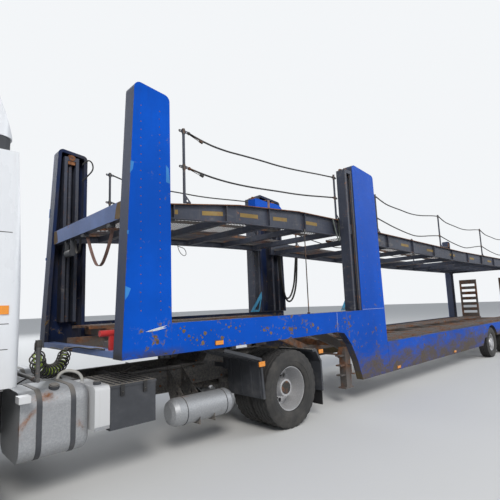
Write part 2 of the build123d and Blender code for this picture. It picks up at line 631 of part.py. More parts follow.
# Tractor frame with its cab pivots, catwalk, the supply line's stand and the air tank's brackets
FRAME_CROSS_X = (FRAME_REAR + 40, 4450, 5600, FRONT_AXLE_X - 1050, FRAME_FRONT - 310)
CATWALK = ((COIL_ROUTE[-1][0] + 25, COIL_ROUTE[1][0] - 10), (-RAIL_OUTER, 485), (RAIL_TOP, 930))
STAND_X = COIL_ROUTE[0][0] + 18
STAND_RADIUS = 18
AIR_TANK = (950, 490)         # axis, as (y, z)
AIR_TANK_X = (4480, 5350)
AIR_TANK_RADIUS = 150
BRACKETS_X = (4797, 5006)
BRACKET_SHEET = 10
with BuildPart() as tractor_frame:
    for side in (-1, 1):
        block((FRAME_REAR, FRAME_FRONT), both(side, RAIL_INNER, RAIL_OUTER), (RAIL_BOTTOM, RAIL_TOP))
        block((FRAME_REAR - 1, FRAME_FRONT + 1), both(side, RAIL_INNER - 1, RAIL_OUTER - RAIL_SHEET),
              (RAIL_BOTTOM + RAIL_SHEET, RAIL_TOP - RAIL_SHEET), mode=Mode.SUBTRACT)
    for x in FRAME_CROSS_X:
        block((x - 40, x + 40), (-RAIL_OUTER + RAIL_SHEET, RAIL_OUTER - RAIL_SHEET), (RAIL_BOTTOM + 20, RAIL_TOP - 30))
    for side in (-1, 1):
        pivot_x, pivot_z = CAB_PIVOT
        side_form(
            ((pivot_x - 170, 640), (pivot_x + 30, 640), (pivot_x + 45, 700), (pivot_x + 20, 750), (pivot_x - 50, 770),
             (pivot_x - 170, 770)),
            both(side, RAIL_INNER, RAIL_OUTER),
        )
        rod((pivot_x, side * (RAIL_INNER - 10), pivot_z), (pivot_x, side * (RAIL_OUTER + 10), pivot_z),
            PIVOT_RADIUS + SEAT, mode=Mode.SUBTRACT)
    block(*CATWALK)
    # Stand of the coiled supply line
    plug = past_end(COIL_ROUTE[0], COIL_ROUTE[1], 110)
    corner_z = CATWALK[2][1] + 145
    rod((STAND_X, 360, RAIL_TOP), (STAND_X, 360, corner_z), STAND_RADIUS)
    rod((STAND_X, 360 - STAND_RADIUS, corner_z), (STAND_X, plug[1] + STAND_RADIUS, corner_z), STAND_RADIUS)
    rod((STAND_X, plug[1], corner_z), (STAND_X, plug[1], plug[2] + 10), STAND_RADIUS)
    rod(past_end(COIL_ROUTE[0], COIL_ROUTE[1], SEAT), plug, COIL_PLUG)
    # Gussets that carry the air tank
    tank_y, tank_z = AIR_TANK
    for x in BRACKETS_X:
        end_form(((RAIL_OUTER, 900), (RAIL_OUTER, RAIL_BOTTOM), (560, 330), (1080, 330), (1080, 420), (752, 600)),
                 (x, x + BRACKET_SHEET))
        rod((x - 5, tank_y, tank_z), (x + BRACKET_SHEET + 5, tank_y, tank_z), AIR_TANK_RADIUS + SEAT,
            mode=Mode.SUBTRACT)
        for y, z in ((480, 740), (610, 600)):
            rod((x - 5, y, z), (x + BRACKET_SHEET + 5, y, z), 25, mode=Mode.SUBTRACT)
finish(tractor_frame, "tractor_frame")

with BuildPart() as supply_coil:
    radius, length = smooth_tube(COIL_ROUTE, 0, COIL_RADIUS)
    print(f"supply coil: smallest radius {radius:.0f}, length {length:.0f}, volume {supply_coil.part.volume:.0f}"
          f" against {pi * COIL_RADIUS ** 2 * length:.0f}")
finish(supply_coil, "supply_coil")

# Engine as one block, on four feet between the frame's flanges
with BuildPart() as engine:
    block((CAB_REAR + 10, CAB_REAR + 1310), (-300, 300), (560, CAB_BOTTOM - 20))
    for x in (CAB_REAR + 190, CAB_REAR + 1130):
        reach = RAIL_OUTER - RAIL_SHEET - SEAT
        block((x - 60, x + 60), (-reach, reach), (700, 790))
finish(engine, "engine")

# Front axle on two leaf springs
SPRING_HALF = 800
with BuildPart() as front_axle:
    rod((FRONT_AXLE_X, -STEER_Y, AXLE_Z), (FRONT_AXLE_X, STEER_Y, AXLE_Z), 38)
    for side in (-1, 1):
        rod((FRONT_AXLE_X, side * STEER_Y, AXLE_Z - 40), (FRONT_AXLE_X, side * STEER_Y, AXLE_Z + 40), 45)
        y = both(side, 340, 420)
        side_form(
            ((FRONT_AXLE_X - SPRING_HALF, 560), (FRONT_AXLE_X - SPRING_HALF, 535), (FRONT_AXLE_X - 300, 505),
             (FRONT_AXLE_X + 300, 505), (FRONT_AXLE_X + SPRING_HALF, 535), (FRONT_AXLE_X + SPRING_HALF, 560),
             (FRONT_AXLE_X + 300, 550), (FRONT_AXLE_X - 300, 550)),
            y,
        )
        block((FRONT_AXLE_X - 60, FRONT_AXLE_X + 60), y, (AXLE_Z, 510))
        for x in (FRONT_AXLE_X - SPRING_HALF + 20, FRONT_AXLE_X + SPRING_HALF - 100):
            block((x, x + 80), y, (540, RAIL_BOTTOM))
finish(front_axle, "front_axle")

# Drive axle on four air springs
with BuildPart() as drive_axle:
    stub = WHEEL_OUTER_Y - TYRE_WIDTH - TWIN_SPACING / 2
    rod((DRIVE_AXLE_X, -stub - 46, TYRE_RADIUS), (DRIVE_AXLE_X, stub + 46, TYRE_RADIUS), 75)
    rod((DRIVE_AXLE_X - 150, 0, TYRE_RADIUS), (DRIVE_AXLE_X + 120, 0, TYRE_RADIUS), 205)
    rod((DRIVE_AXLE_X, 0, TYRE_RADIUS), (DRIVE_AXLE_X + 330, 0, TYRE_RADIUS + 20), 110)
    for side in (-1, 1):
        rod((DRIVE_AXLE_X, side * (stub + 41), TYRE_RADIUS), (DRIVE_AXLE_X, side * (stub + 311), TYRE_RADIUS), SPINDLE_RADIUS)
        block((DRIVE_AXLE_X - 480, DRIVE_AXLE_X + 480), both(side, RAIL_INNER, RAIL_OUTER), (430, 490))
        for x in (-400, 400):
            middle = side * (RAIL_INNER + RAIL_OUTER) / 2
            rod((DRIVE_AXLE_X + x, middle, 490), (DRIVE_AXLE_X + x, middle, RAIL_BOTTOM), 120)
finish(drive_axle, "drive_axle")

# Fifth wheel with its rear mouth
with BuildPart() as fifth_wheel:
    with BuildSketch(Plane.XY.offset(FIFTH_WHEEL_TOP - FIFTH_WHEEL_PLATE)):
        with Locations((KINGPIN_X, 0)):
            Circle(460)
            Circle(PIN_SHANK + 0.9, mode=Mode.SUBTRACT)
        with Locations((KINGPIN_X - 460, 0)):
            Trapezoid(400, 300, 70, rotation=90, mode=Mode.SUBTRACT)
    extrude(amount=FIFTH_WHEEL_PLATE)
    plate_z = FIFTH_WHEEL_TOP - FIFTH_WHEEL_PLATE
    for side in (-1, 1):
        side_form(((KINGPIN_X - 260, RAIL_TOP), (KINGPIN_X + 260, RAIL_TOP), (KINGPIN_X + 110, plate_z),
                   (KINGPIN_X - 110, plate_z)), both(side, RAIL_INNER - 70, RAIL_OUTER))
finish(fifth_wheel, "fifth_wheel")

# Fuel tanks, a narrow additive tank behind the left one, and the air tank under the left side
BATTERY_X = (5620, 6100)
FUEL_X = (BATTERY_X[1] + 170, FRONT_AXLE_X - TYRE_RADIUS - 193)
FUEL_Y = (RAIL_OUTER + 90, HALF_WIDTH - 155)
FUEL_Z = (400, 976)
FUEL_CORNER = 130
TANK_STRAP = 100
ADDITIVE_X = (BATTERY_X[1] + 21, BATTERY_X[1] + 160)
ADDITIVE_Y = (RAIL_OUTER + 200, HALF_WIDTH - 75)
ADDITIVE_Z = (560, 943)
with BuildPart() as tanks:
    for side in (-1, 1):
        with BuildSketch(Plane.YZ.offset(FUEL_X[0])) as profile:
            with Locations((side * sum(FUEL_Y) / 2, sum(FUEL_Z) / 2)):
                RectangleRounded(FUEL_Y[1] - FUEL_Y[0], FUEL_Z[1] - FUEL_Z[0], FUEL_CORNER)
        extrude(profile.sketch, amount=FUEL_X[1] - FUEL_X[0])
    fillet(edges().group_by(Axis.X)[0], FUEL_CORNER / 2)
    for side in (-1, 1):
        middle = sum(FUEL_X) / 2
        for x in (middle - TANK_STRAP, middle + TANK_STRAP):
            block((x - 35, x + 35), both(side, RAIL_OUTER, FUEL_Y[0] + 5), (660, 800))
    block(ADDITIVE_X, ADDITIVE_Y, ADDITIVE_Z)
    fillet(edges().filter_by(Axis.X).filter_by_position(Axis.X, *ADDITIVE_X).group_by(Axis.Z)[-1].sort_by(Axis.Y)[-1], 45)
    block((ADDITIVE_X[0] + 30, ADDITIVE_X[1] - 30), (RAIL_OUTER, ADDITIVE_Y[0] + 5), (700, 780))
    tank_y, tank_z = AIR_TANK
    dome = ((0, 0), (0, 80), (25, 125), (75, AIR_TANK_RADIUS))
    with BuildSketch(Plane(origin=(0, tank_y, tank_z), x_dir=(1, 0, 0), z_dir=(0, -1, 0))) as profile:
        Polygon(*[(AIR_TANK_X[0] + x, r) for x, r in dome], *[(AIR_TANK_X[1] - x, r) for x, r in reversed(dome)],
                align=None)
    revolve(profile.sketch, axis=Axis((0, tank_y, tank_z), (1, 0, 0)))
finish(tanks, "tanks")

# Battery box with a ribbed, overhanging lid
BATTERY_LID = 20
RIB = 18
with BuildPart() as battery_box:
    y = (RAIL_OUTER, HALF_WIDTH - 115)
    block(BATTERY_X, y, (520, RAIL_TOP - 5))
    block((BATTERY_X[0] - 6, BATTERY_X[1] + 6), (y[0], y[1] + 8), (RAIL_TOP - 5, RAIL_TOP + BATTERY_LID))
    for k in range(7):
        x = BATTERY_X[0] + 40 + 62 * k
        block((x, x + RIB), (y[0] + 60, y[1] - 40), (RAIL_TOP + BATTERY_LID, RAIL_TOP + BATTERY_LID + 12))
finish(battery_box, "battery_box")

# Mudguards of the drive wheels, as the inner and outer lines of a sheet in x and z, with ribs
GUARD_Y = (WHEEL_OUTER_Y - 645, HALF_WIDTH - 25)
FRONT_GUARD = (
    ((530, 470), (565, 470), (600, 940), (800, 1000), (1180, 1110), (1165, 1140), (790, 1040), (575, 970)),
    ((565, 500), (577, 500), (612, 925), (800, 985), (1150, 1085), (1150, 1110), (790, 1015), (590, 950)),
)
REAR_GUARD = (
    ((-450, 940), (-430, 975), (-530, 975), (-640, 800), (-650, 380), (-620, 380), (-610, 790), (-515, 940)),
    ((-650, 420), (-662, 420), (-652, 800), (-545, 983), (-520, 983), (-520, 960), (-630, 790)),
)
GUARD_RIBS_Y = (60, 250, 440, 600)
with BuildPart() as mudguards:
    for sheet, rib in (FRONT_GUARD, REAR_GUARD):
        side_form([(DRIVE_AXLE_X + x, z) for x, z in sheet], GUARD_Y)
        for y in GUARD_RIBS_Y:
            side_form([(DRIVE_AXLE_X + x, z) for x, z in rib], (GUARD_Y[0] + y, GUARD_Y[0] + y + 30))
    for x, low, high in ((640, 580, 660), (-520, -600, -500)):
        block((DRIVE_AXLE_X + x - 20, DRIVE_AXLE_X + x + 20), (RAIL_OUTER, GUARD_Y[0] + 10), (820, 880))
        block((DRIVE_AXLE_X + low, DRIVE_AXLE_X + high), (GUARD_Y[0], GUARD_Y[0] + 50), (800, 960))
    mirror(about=Plane.XZ)
finish(mudguards, "mudguards")

# Bumper with steps ahead of the steered wheels, lamp recesses and a lower grille
BUMPER_CORNER = 300
LAMP_RECESS = ((540, 850), (600, 800))     # as two y and two z
LAMP_DEPTH = 45
GRILLE_SLOTS_Z = (370, 440, 510)
STEP_X = (BUMPER_REAR + 50, BUMPER_REAR + 420)
with BuildPart() as bumper:
    with BuildSketch(Plane.XY.offset(BUMPER_BOTTOM)) as profile:
        with Locations(((BUMPER_REAR + FRONT_END) / 2, 0)):
            Rectangle(FRONT_END - BUMPER_REAR, 2 * CAB_HALF)
        fillet(vertices().group_by(Axis.X)[-1], BUMPER_CORNER)
    extrude(profile.sketch, amount=BUMPER_TOP - BUMPER_BOTTOM)
    inside = CAB_HALF - 380
    block((BUMPER_REAR - 80, FRONT_END - BUMPER_WALL), (-inside, inside), (BUMPER_BOTTOM - 100, BUMPER_TOP + 90),
          mode=Mode.SUBTRACT)
    for z in GRILLE_SLOTS_Z:
        block((FRONT_END - BUMPER_WALL - 10, FRONT_END + 10), (-460, 460), (z, z + 40), mode=Mode.SUBTRACT)
    for side in (-1, 1):
        block((FRAME_FRONT - 120, FRAME_FRONT - 20), both(side, RAIL_OUTER, inside), (660, 760))
        block((FRONT_END - LAMP_DEPTH, FRONT_END + 10), both(side, *LAMP_RECESS[0]), LAMP_RECESS[1], mode=Mode.SUBTRACT)
        for z in (430, 760):
            block(STEP_X, both(side, CAB_HALF - 160, CAB_HALF + 10), (z, z + 180), mode=Mode.SUBTRACT)
finish(bumper, "bumper")

with BuildPart() as headlamps:
    y, z = LAMP_RECESS
    block((FRONT_END - LAMP_DEPTH + SEAT, FRONT_END - 6), (y[0] + SEAT, y[1] - SEAT), (z[0] + SEAT, z[1] - SEAT))
    fillet(edges().group_by(Axis.X)[-1], 12)
    mirror(about=Plane.XZ)
finish(headlamps, "headlamps")


# Cab

def cab_form(inset):
    """The lower cab's outside, or its hollow where inset is the wall."""
    front = CAB_FACE - inset
    knee = 1900
    with BuildPart() as form:
        side_form(
            ((CAB_REAR + inset, CAB_BOTTOM + inset), (front - 30, CAB_BOTTOM + inset), (front, 1350), (front, knee),
             (front - SCREEN_LEAN * (CAB_SEAM - inset - knee), CAB_SEAM - inset),
             (CAB_REAR + 70 + inset, CAB_SEAM - inset), (CAB_REAR + inset, 1750)),
            (-CAB_HALF + inset, CAB_HALF - inset),
        )
        with BuildSketch(Plane.XY.offset(CAB_BOTTOM)) as profile:
            with Locations(((CAB_REAR + CAB_FACE) / 2, 0)):
                Rectangle(CAB_FACE - CAB_REAR - 2 * inset, 2 * (CAB_HALF - inset))
            fillet(vertices().group_by(Axis.X)[-1], 330 - inset)
            fillet(vertices().group_by(Axis.X)[0], 90 - inset)
        extrude(profile.sketch, amount=CAB_SEAM, mode=Mode.INTERSECT)
    return form.part


def door_outline(inset, sill=None):
    """The door, or its window when a sill height is given; the front edge leans with the windscreen."""
    bottom = DOOR_Z[0] + inset if sill is None else sill
    front = DOOR_X[1] - inset
    knee = max(bottom, DOOR_KNEE)
    top = DOOR_Z[1] - inset
    return ((DOOR_X[0] + inset, bottom), (front, bottom), (front, knee), (front - SCREEN_LEAN * (top - knee), top),
            (DOOR_X[0] + inset, top))


MIRROR_X = DOOR_X[1] + 30
MIRROR_Z = (1950, 2480)
cab_outside = cab_form(0)
cab_hollow = cab_form(CAB_WALL)
with BuildPart() as cab_shell:
    add(cab_outside)
    add(cab_hollow, mode=Mode.SUBTRACT)
    for side in (-1, 1):
        side_form(door_outline(-DOOR_GAP), both(side, CAB_HALF - 150, CAB_HALF + 10), mode=Mode.SUBTRACT)
    block((FRONT_END - 400, FRONT_END + 10), (-SCREEN_HALF, SCREEN_HALF), SCREEN_Z, mode=Mode.SUBTRACT)
    for side in (-1, 1):
        # Mirrors on their arms, ahead of the doors
        block((MIRROR_X + 10, MIRROR_X + 50), both(side, CAB_HALF - 40, CAB_HALF + 130), (2420, 2460))
        block((MIRROR_X + 10, MIRROR_X + 50), both(side, CAB_HALF - 40, CAB_HALF + 130), (2000, 2035))
        with BuildSketch(Plane.XY.offset(MIRROR_Z[0])) as profile:
            with Locations((MIRROR_X + 45, side * (CAB_HALF + 180))):
                RectangleRounded(90, 120, 35)
        extrude(profile.sketch, amount=MIRROR_Z[1] - MIRROR_Z[0])
        # Lower pivot arms
        pivot_x, pivot_z = CAB_PIVOT
        side_form(((BUMPER_REAR, CAB_BOTTOM + 20), (BUMPER_REAR + 160, CAB_BOTTOM + 20), (pivot_x + 35, 720),
                   (pivot_x + 30, 665), (pivot_x - 30, 662)), both(side, 250, 310))
        rod((pivot_x, side * 260, pivot_z), (pivot_x, side * (RAIL_OUTER - 10), pivot_z), PIVOT_RADIUS)
finish(cab_shell, "cab_shell")

# High roof over a dark band, with a sun visor ahead of it; its side line rises by shares of the roof
ROOF_FRONT = FRONT_END - 310
ROOF_SIDE = CAB_HALF - 20
ROOF_WALL = 120
ROOF_BASE = CAB_SEAM + BAND
ROOF_LINE = (      # x from the cab's rear, and the share of the rise from the band to the top
    (100, 0), (1800, 0), (1710, 0.325), (1260, 0.92), (1010, 1), (610, 1), (370, 0.844), (230, 0.44),
)
HOLLOW_LINE = (
    (220, -0.175), (1610, -0.175), (1610, 0.26), (1210, 0.844), (630, 0.844), (410, 0.74), (300, 0.40),
)


def roof_points(line):
    return [(CAB_REAR + x, ROOF_BASE + share * (ROOF_TOP - ROOF_BASE)) for x, share in line]


with BuildPart() as cab_roof:
    side_form(roof_points(ROOF_LINE), (-ROOF_SIDE, ROOF_SIDE))
    with BuildSketch(Plane.XY.offset(CAB_SEAM)) as profile:
        with Locations(((CAB_REAR + 100 + ROOF_FRONT) / 2, 0)):
            Rectangle(ROOF_FRONT - CAB_REAR - 100, 2 * ROOF_SIDE)
        fillet(vertices().group_by(Axis.X)[-1], 300)
        fillet(vertices().group_by(Axis.X)[0], 120)
    extrude(profile.sketch, amount=ROOF_TOP, mode=Mode.INTERSECT)
    block((CAB_REAR + 150, ROOF_FRONT - 50), (50 - ROOF_SIDE, ROOF_SIDE - 50), (CAB_SEAM, ROOF_BASE))
    side_form(roof_points(HOLLOW_LINE), (ROOF_WALL - ROOF_SIDE, ROOF_SIDE - ROOF_WALL), mode=Mode.SUBTRACT)
    side_form(((ROOF_FRONT - 70, CAB_SEAM + 70), (ROOF_FRONT + 150, CAB_SEAM - 30), (ROOF_FRONT + 156, CAB_SEAM - 14),
               (ROOF_FRONT - 70, CAB_SEAM + 90)), (-900, 900))
finish(cab_roof, "cab_roof")


def screen_x(z):
    """The windscreen's outer face at a height, on the cab's leaning front."""
    return CAB_FACE - 31 - SCREEN_LEAN * (z - SCREEN_Z[0])


with BuildPart() as windscreen:
    low, high = SCREEN_Z[0] + 5, SCREEN_Z[1] - 5
    half = SCREEN_HALF - SEAT
    side_form(((screen_x(low) - 30, low), (screen_x(low) - 30 + SCREEN_THICK, low),
               (screen_x(high) - 30 + SCREEN_THICK, high), (screen_x(high) - 30, high)), (-half, half))
finish(windscreen, "windscreen")

# Front grille: a frame with six slots
GRILLE_HALF = 820
with BuildPart() as grille:
    block((CAB_FACE + SEAT, FRONT_END), (-GRILLE_HALF, GRILLE_HALF), (1370, 1840))
    for z in range(1410, 1800, 75):
        block((CAB_FACE + 5, FRONT_END + 5), (60 - GRILLE_HALF, GRILLE_HALF - 60), (z, z + 42), mode=Mode.SUBTRACT)
finish(grille, "grille")

# Two seats, dash, steering wheel on the left, and the bunk
SEAT_Y = 560
FLOOR = CAB_BOTTOM + CAB_WALL
SEAT_X = FRONT_END - 1120     # rear of a seat's base
DASH_X = FRONT_END - 550
WHEEL_CENTRE = Vector(FRONT_END - 630, SEAT_Y, 1900)
WHEEL_TILT = Vector(-0.5, 0, 0.866)
with BuildPart() as cab_interior:
    for y in (-SEAT_Y, SEAT_Y):
        block((SEAT_X, SEAT_X + 450), (y - 220, y + 220), (FLOOR, 1480))
        block((SEAT_X - 20, SEAT_X + 500), (y - 250, y + 250), (1480, 1600))
        side_form(((SEAT_X - 140, 1600), (SEAT_X + 20, 1600), (SEAT_X - 80, 2150), (SEAT_X - 200, 2150)),
                  (y - 240, y + 240))
        side_form(((SEAT_X - 195, 2150), (SEAT_X - 85, 2150), (SEAT_X - 110, 2350), (SEAT_X - 200, 2350)),
                  (y - 140, y + 140))
    block((DASH_X, DASH_X + 370), (-1080, 1080), (1500, 1880))
    block((DASH_X + 50, DASH_X + 350), (-900, 900), (FLOOR, 1500))
    block((CAB_REAR + 90, CAB_REAR + 550), (-1100, 1100), (1560, 1700))
    for y in (-1000, 1000):
        block((CAB_REAR + 90, CAB_REAR + 550), (y - 60, y + 60), (FLOOR, 1560))
    with BuildSketch(Plane(origin=WHEEL_CENTRE, z_dir=WHEEL_TILT)) as profile:
        Circle(225)
        Circle(200, mode=Mode.SUBTRACT)
        Rectangle(410, 45)
        Circle(70)
    extrude(profile.sketch, amount=22)
    rod(tuple(WHEEL_CENTRE), tuple(WHEEL_CENTRE - WHEEL_TILT * 230), 30)
finish(cab_interior, "cab_interior")

# Doors with their handles, and their windows
HANDLE = ((DOOR_X[0] + 60, DOOR_X[0] + 240), (1790, 1825))
for name, side in (("left", 1), ("right", -1)):
    with BuildPart() as door:
        side_form(door_outline(0), both(side, CAB_HALF - CAB_WALL, CAB_HALF))
        side_form(door_outline(WINDOW_FRAME, SILL_Z), both(side, CAB_HALF - 240, CAB_HALF + 60), mode=Mode.SUBTRACT)
        for z in (1450, 2350):
            rod((HINGE_X, side * HINGE_Y, z), (HINGE_X, side * HINGE_Y, z + 60), HINGE_RADIUS)
            block((HINGE_X - 60, HINGE_X), both(side, CAB_HALF, HINGE_Y + 6), (z, z + 60))
        x, z = HANDLE
        block((x[0] - 20, x[1] + 20), both(side, CAB_HALF - 18, CAB_HALF + 1), (z[0] - 35, z[1] + 35),
              mode=Mode.SUBTRACT)
        block((x[0], x[1]), both(side, CAB_HALF - 18, CAB_HALF + 8), z)
    finish(door, f"door_{name}")
    with BuildPart() as glass:
        middle = CAB_HALF - CAB_WALL / 2
        side_form(door_outline(WINDOW_FRAME + SEAT, SILL_Z + SEAT), both(side, middle - 3, middle + 3))
    finish(glass, f"door_glass_{name}")


# Wheels

def tyre(x, y0, y1, radius, bore):
    """A many-sided tyre between two y, with a flat resting on the ground."""
    bead = 0.12 * (y1 - y0)
    grow = 1 / cos(pi / TYRE_SIDES)
    with BuildSketch(Plane(origin=(x, y1 - bead, radius), x_dir=(0, 0, -1), z_dir=(0, -1, 0))) as profile:
        RegularPolygon(radius * grow, TYRE_SIDES, rotation=180 / TYRE_SIDES)
    extrude(profile.sketch, amount=y1 - y0 - 2 * bead)
    for y, direction in ((y1 - bead, 1), (y0 + bead, -1)):
        with BuildSketch(Plane(origin=(x, y, radius), x_dir=(0, 0, -1), z_dir=(0, direction, 0))) as profile:
            RegularPolygon(radius * grow, TYRE_SIDES, rotation=180 / TYRE_SIDES)
        extrude(profile.sketch, amount=bead, taper=50)
    with BuildSketch(Plane(origin=(x, y1 + 1, radius), x_dir=(0, 0, -1), z_dir=(0, -1, 0))) as profile:
        RegularPolygon((bore + SEAT) * grow, TYRE_SIDES, rotation=180 / TYRE_SIDES)
    extrude(profile.sketch, amount=y1 - y0 + 2, mode=Mode.SUBTRACT)


RIM_WALL = 12
DISC = 14


def rim(x, z, side, y, radius, holes):
    """A rim with its disc and hub. y is (inner edge, outer edge, disc, hub's end), away from the middle."""
    y_inner, y_outer, y_disc, hub_end = y
    bore = SPINDLE_RADIUS + SEAT
    section = (
        (y_inner, radius - RIM_WALL), (y_inner, radius), (y_outer, radius), (y_outer, radius - RIM_WALL),
        (y_disc + DISC, radius - RIM_WALL), (y_disc + DISC, HUB_RADIUS), (hub_end, HUB_RADIUS - 30), (hub_end, 0),
        (hub_end - 30, 0), (hub_end - 30, bore), (y_disc - 90, bore), (y_disc - 90, HUB_RADIUS - 20),
        (y_disc, HUB_RADIUS), (y_disc, radius - RIM_WALL),
    )
    with BuildSketch(Plane(origin=(x, 0, z), x_dir=(0, 1, 0), z_dir=(1, 0, 0))) as profile:
        Polygon(*[(side * a, r) for a, r in section], align=None)
    revolve(profile.sketch, axis=Axis((x, 0, z), (0, 1, 0)))
    count, hole_radius = holes
    with BuildSketch(Plane(origin=(x, side * (y_disc - 5), z), x_dir=(1, 0, 0), z_dir=(0, side, 0))) as profile:
        with PolarLocations((HUB_RADIUS + radius - RIM_WALL) / 2, count):
            RegularPolygon(hole_radius, 12)
    extrude(profile.sketch, amount=DISC + 10, mode=Mode.SUBTRACT)


for name, side in (("left", 1), ("right", -1)):
    with BuildPart() as steer_tyre:
        tyre(FRONT_AXLE_X, *both(side, WHEEL_OUTER_Y - TYRE_WIDTH, WHEEL_OUTER_Y), TYRE_RADIUS, RIM_RADIUS)
    finish(steer_tyre, f"steer_tyre_{name}")
    with BuildPart() as steer_rim:
        edges_y = (WHEEL_OUTER_Y - TYRE_WIDTH + 40, WHEEL_OUTER_Y - 40, WHEEL_OUTER_Y - 75, WHEEL_OUTER_Y - 10)
        rim(FRONT_AXLE_X, TYRE_RADIUS, side, edges_y, RIM_RADIUS, (10, 30))
    finish(steer_rim, f"steer_rim_{name}")
    with BuildPart() as knuckle:
        fork = both(side, STEER_Y + 50, STEER_Y + 90)
        block((FRONT_AXLE_X - 45, FRONT_AXLE_X + 45), fork, (AXLE_Z - 100, TYRE_RADIUS + 60))
        for low, high in ((AXLE_Z - 100, AXLE_Z - 40 - SEAT), (AXLE_Z + 40 + SEAT, AXLE_Z + 110)):
            rod((FRONT_AXLE_X, side * STEER_Y, low), (FRONT_AXLE_X, side * STEER_Y, high), 45)
            block((FRONT_AXLE_X - 45, FRONT_AXLE_X + 45), both(side, STEER_Y, STEER_Y + 50), (low, high))
        rod((FRONT_AXLE_X, side * (STEER_Y + 90), TYRE_RADIUS), (FRONT_AXLE_X, side * (STEER_Y + 280), TYRE_RADIUS),
            SPINDLE_RADIUS)
    finish(knuckle, f"knuckle_{name}")
    with BuildPart() as drive_tyres:
        for k in (0, 1):
            outer = WHEEL_OUTER_Y - k * TWIN_SPACING
            tyre(DRIVE_AXLE_X, *both(side, outer - TYRE_WIDTH, outer), TYRE_RADIUS, RIM_RADIUS)
    finish(drive_tyres, f"drive_tyres_{name}")
    with BuildPart() as drive_rims:
        middle = WHEEL_OUTER_Y - TYRE_WIDTH / 2 - TWIN_SPACING / 2
        edges_y = (WHEEL_OUTER_Y - TYRE_WIDTH - TWIN_SPACING + 40, WHEEL_OUTER_Y - 40, middle, middle + 200)
        rim(DRIVE_AXLE_X, TYRE_RADIUS, side, edges_y, RIM_RADIUS, (10, 30))
    finish(drive_rims, f"drive_rims_{name}")
    for k, x in enumerate(TRAILER_AXLES_X, start=1):
        with BuildPart() as trailer_wheel:
            outer = SMALL_WHEEL_OUTER_Y
            tyre(x, *both(side, outer - SMALL_TYRE_WIDTH, outer), SMALL_TYRE_RADIUS, SMALL_RIM_RADIUS)
            edges_y = (outer - SMALL_TYRE_WIDTH + 30, outer - 30, outer - 90, outer - 20)
            rim(x, SMALL_TYRE_RADIUS, side, edges_y, SMALL_RIM_RADIUS, (8, 22))
        finish(trailer_wheel, f"trailer_wheel_{k}_{name}")
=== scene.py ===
# Looks of the articulated car transporter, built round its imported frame.
# Metres. +X forward, +Y the vehicle's left, +Z up, the origin on the ground under the middle.
import json
import math
import random

import bmesh
import bpy
from mathutils import Matrix, Vector


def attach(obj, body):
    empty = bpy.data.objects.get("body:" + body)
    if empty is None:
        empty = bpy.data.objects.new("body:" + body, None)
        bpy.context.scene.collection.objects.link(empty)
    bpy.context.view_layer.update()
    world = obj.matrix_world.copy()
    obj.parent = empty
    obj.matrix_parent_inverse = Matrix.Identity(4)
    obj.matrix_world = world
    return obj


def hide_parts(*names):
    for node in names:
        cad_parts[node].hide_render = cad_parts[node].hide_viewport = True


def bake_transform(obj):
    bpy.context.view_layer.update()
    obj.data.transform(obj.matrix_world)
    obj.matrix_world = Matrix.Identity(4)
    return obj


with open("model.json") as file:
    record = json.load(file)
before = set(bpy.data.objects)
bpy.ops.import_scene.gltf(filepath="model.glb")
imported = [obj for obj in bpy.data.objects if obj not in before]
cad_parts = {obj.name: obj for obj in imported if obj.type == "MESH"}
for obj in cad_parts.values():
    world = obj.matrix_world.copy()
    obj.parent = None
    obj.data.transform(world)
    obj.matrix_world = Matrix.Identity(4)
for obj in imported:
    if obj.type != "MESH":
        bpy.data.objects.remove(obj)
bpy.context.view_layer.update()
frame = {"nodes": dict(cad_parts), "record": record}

# The photograph's camera
CAMERA_PLACE = (7.808, 4.961, 1.640)
CAMERA_RIGHT = (-0.730368, 0.682072, -0.036605)
CAMERA_DOWN = (-0.065212, -0.122975, -0.990265)
CAMERA_FORWARD = (-0.679934, -0.720871, 0.134296)
CAMERA_LENS = 29.03

# Sizes that the pieces share with the frame
SEAT = 0.0003
HALF_WIDTH = 1.275            # outer face of the trailer's posts and side beams
POST_INNER = HALF_WIDTH - 0.195
DECK_OUTER = POST_INNER - 0.018
WEB_Y = DECK_OUTER - 0.048    # outer face of an edge beam's web
RAIL_Y = DECK_OUTER - 0.025   # hand rail posts and ropes
SCREW_Y = HALF_WIDTH - 0.100
EYE_REACH = 0.060
EYE_TIP = 0.008
ROPE_RADIUS = 0.012
FRONT_AXLE_X = 7.55
DRIVE_AXLE_X = 3.60
TRAILER_AXLES_X = (-4.60, -5.90)
CAB_SIDE = 1.240
CAB_FACE = 8.984
SCREEN_LEAN = 0.245
SIDES = ((1, "left"), (-1, "right"))

# Upper decks' edge beams as (x, top, bottom), and their rail posts as (x, height, upper eye, lower eye)
FRONT_DECK = ((5.950, 2.770, 2.585), (5.360, 2.828, 2.650), (4.300, 2.965, 2.712), (3.060, 3.042, 2.745),
              (1.850, 3.035, 2.752))
REAR_DECK = ((1.560, 2.965, 2.690), (-3.600, 2.835, 2.560), (-8.640, 2.805, 2.540))
FRONT_RAILS = ((5.150, 0.935, 0.907, 0.457), (2.040, 0.794, 0.744, 0.380))
REAR_RAILS = ((0.670, 0.757, 0.717, 0.282), (-2.320, 0.798, 0.765, 0.275), (-5.310, 0.798, 0.765, 0.275),
              (-8.300, 0.798, 0.765, 0.275))

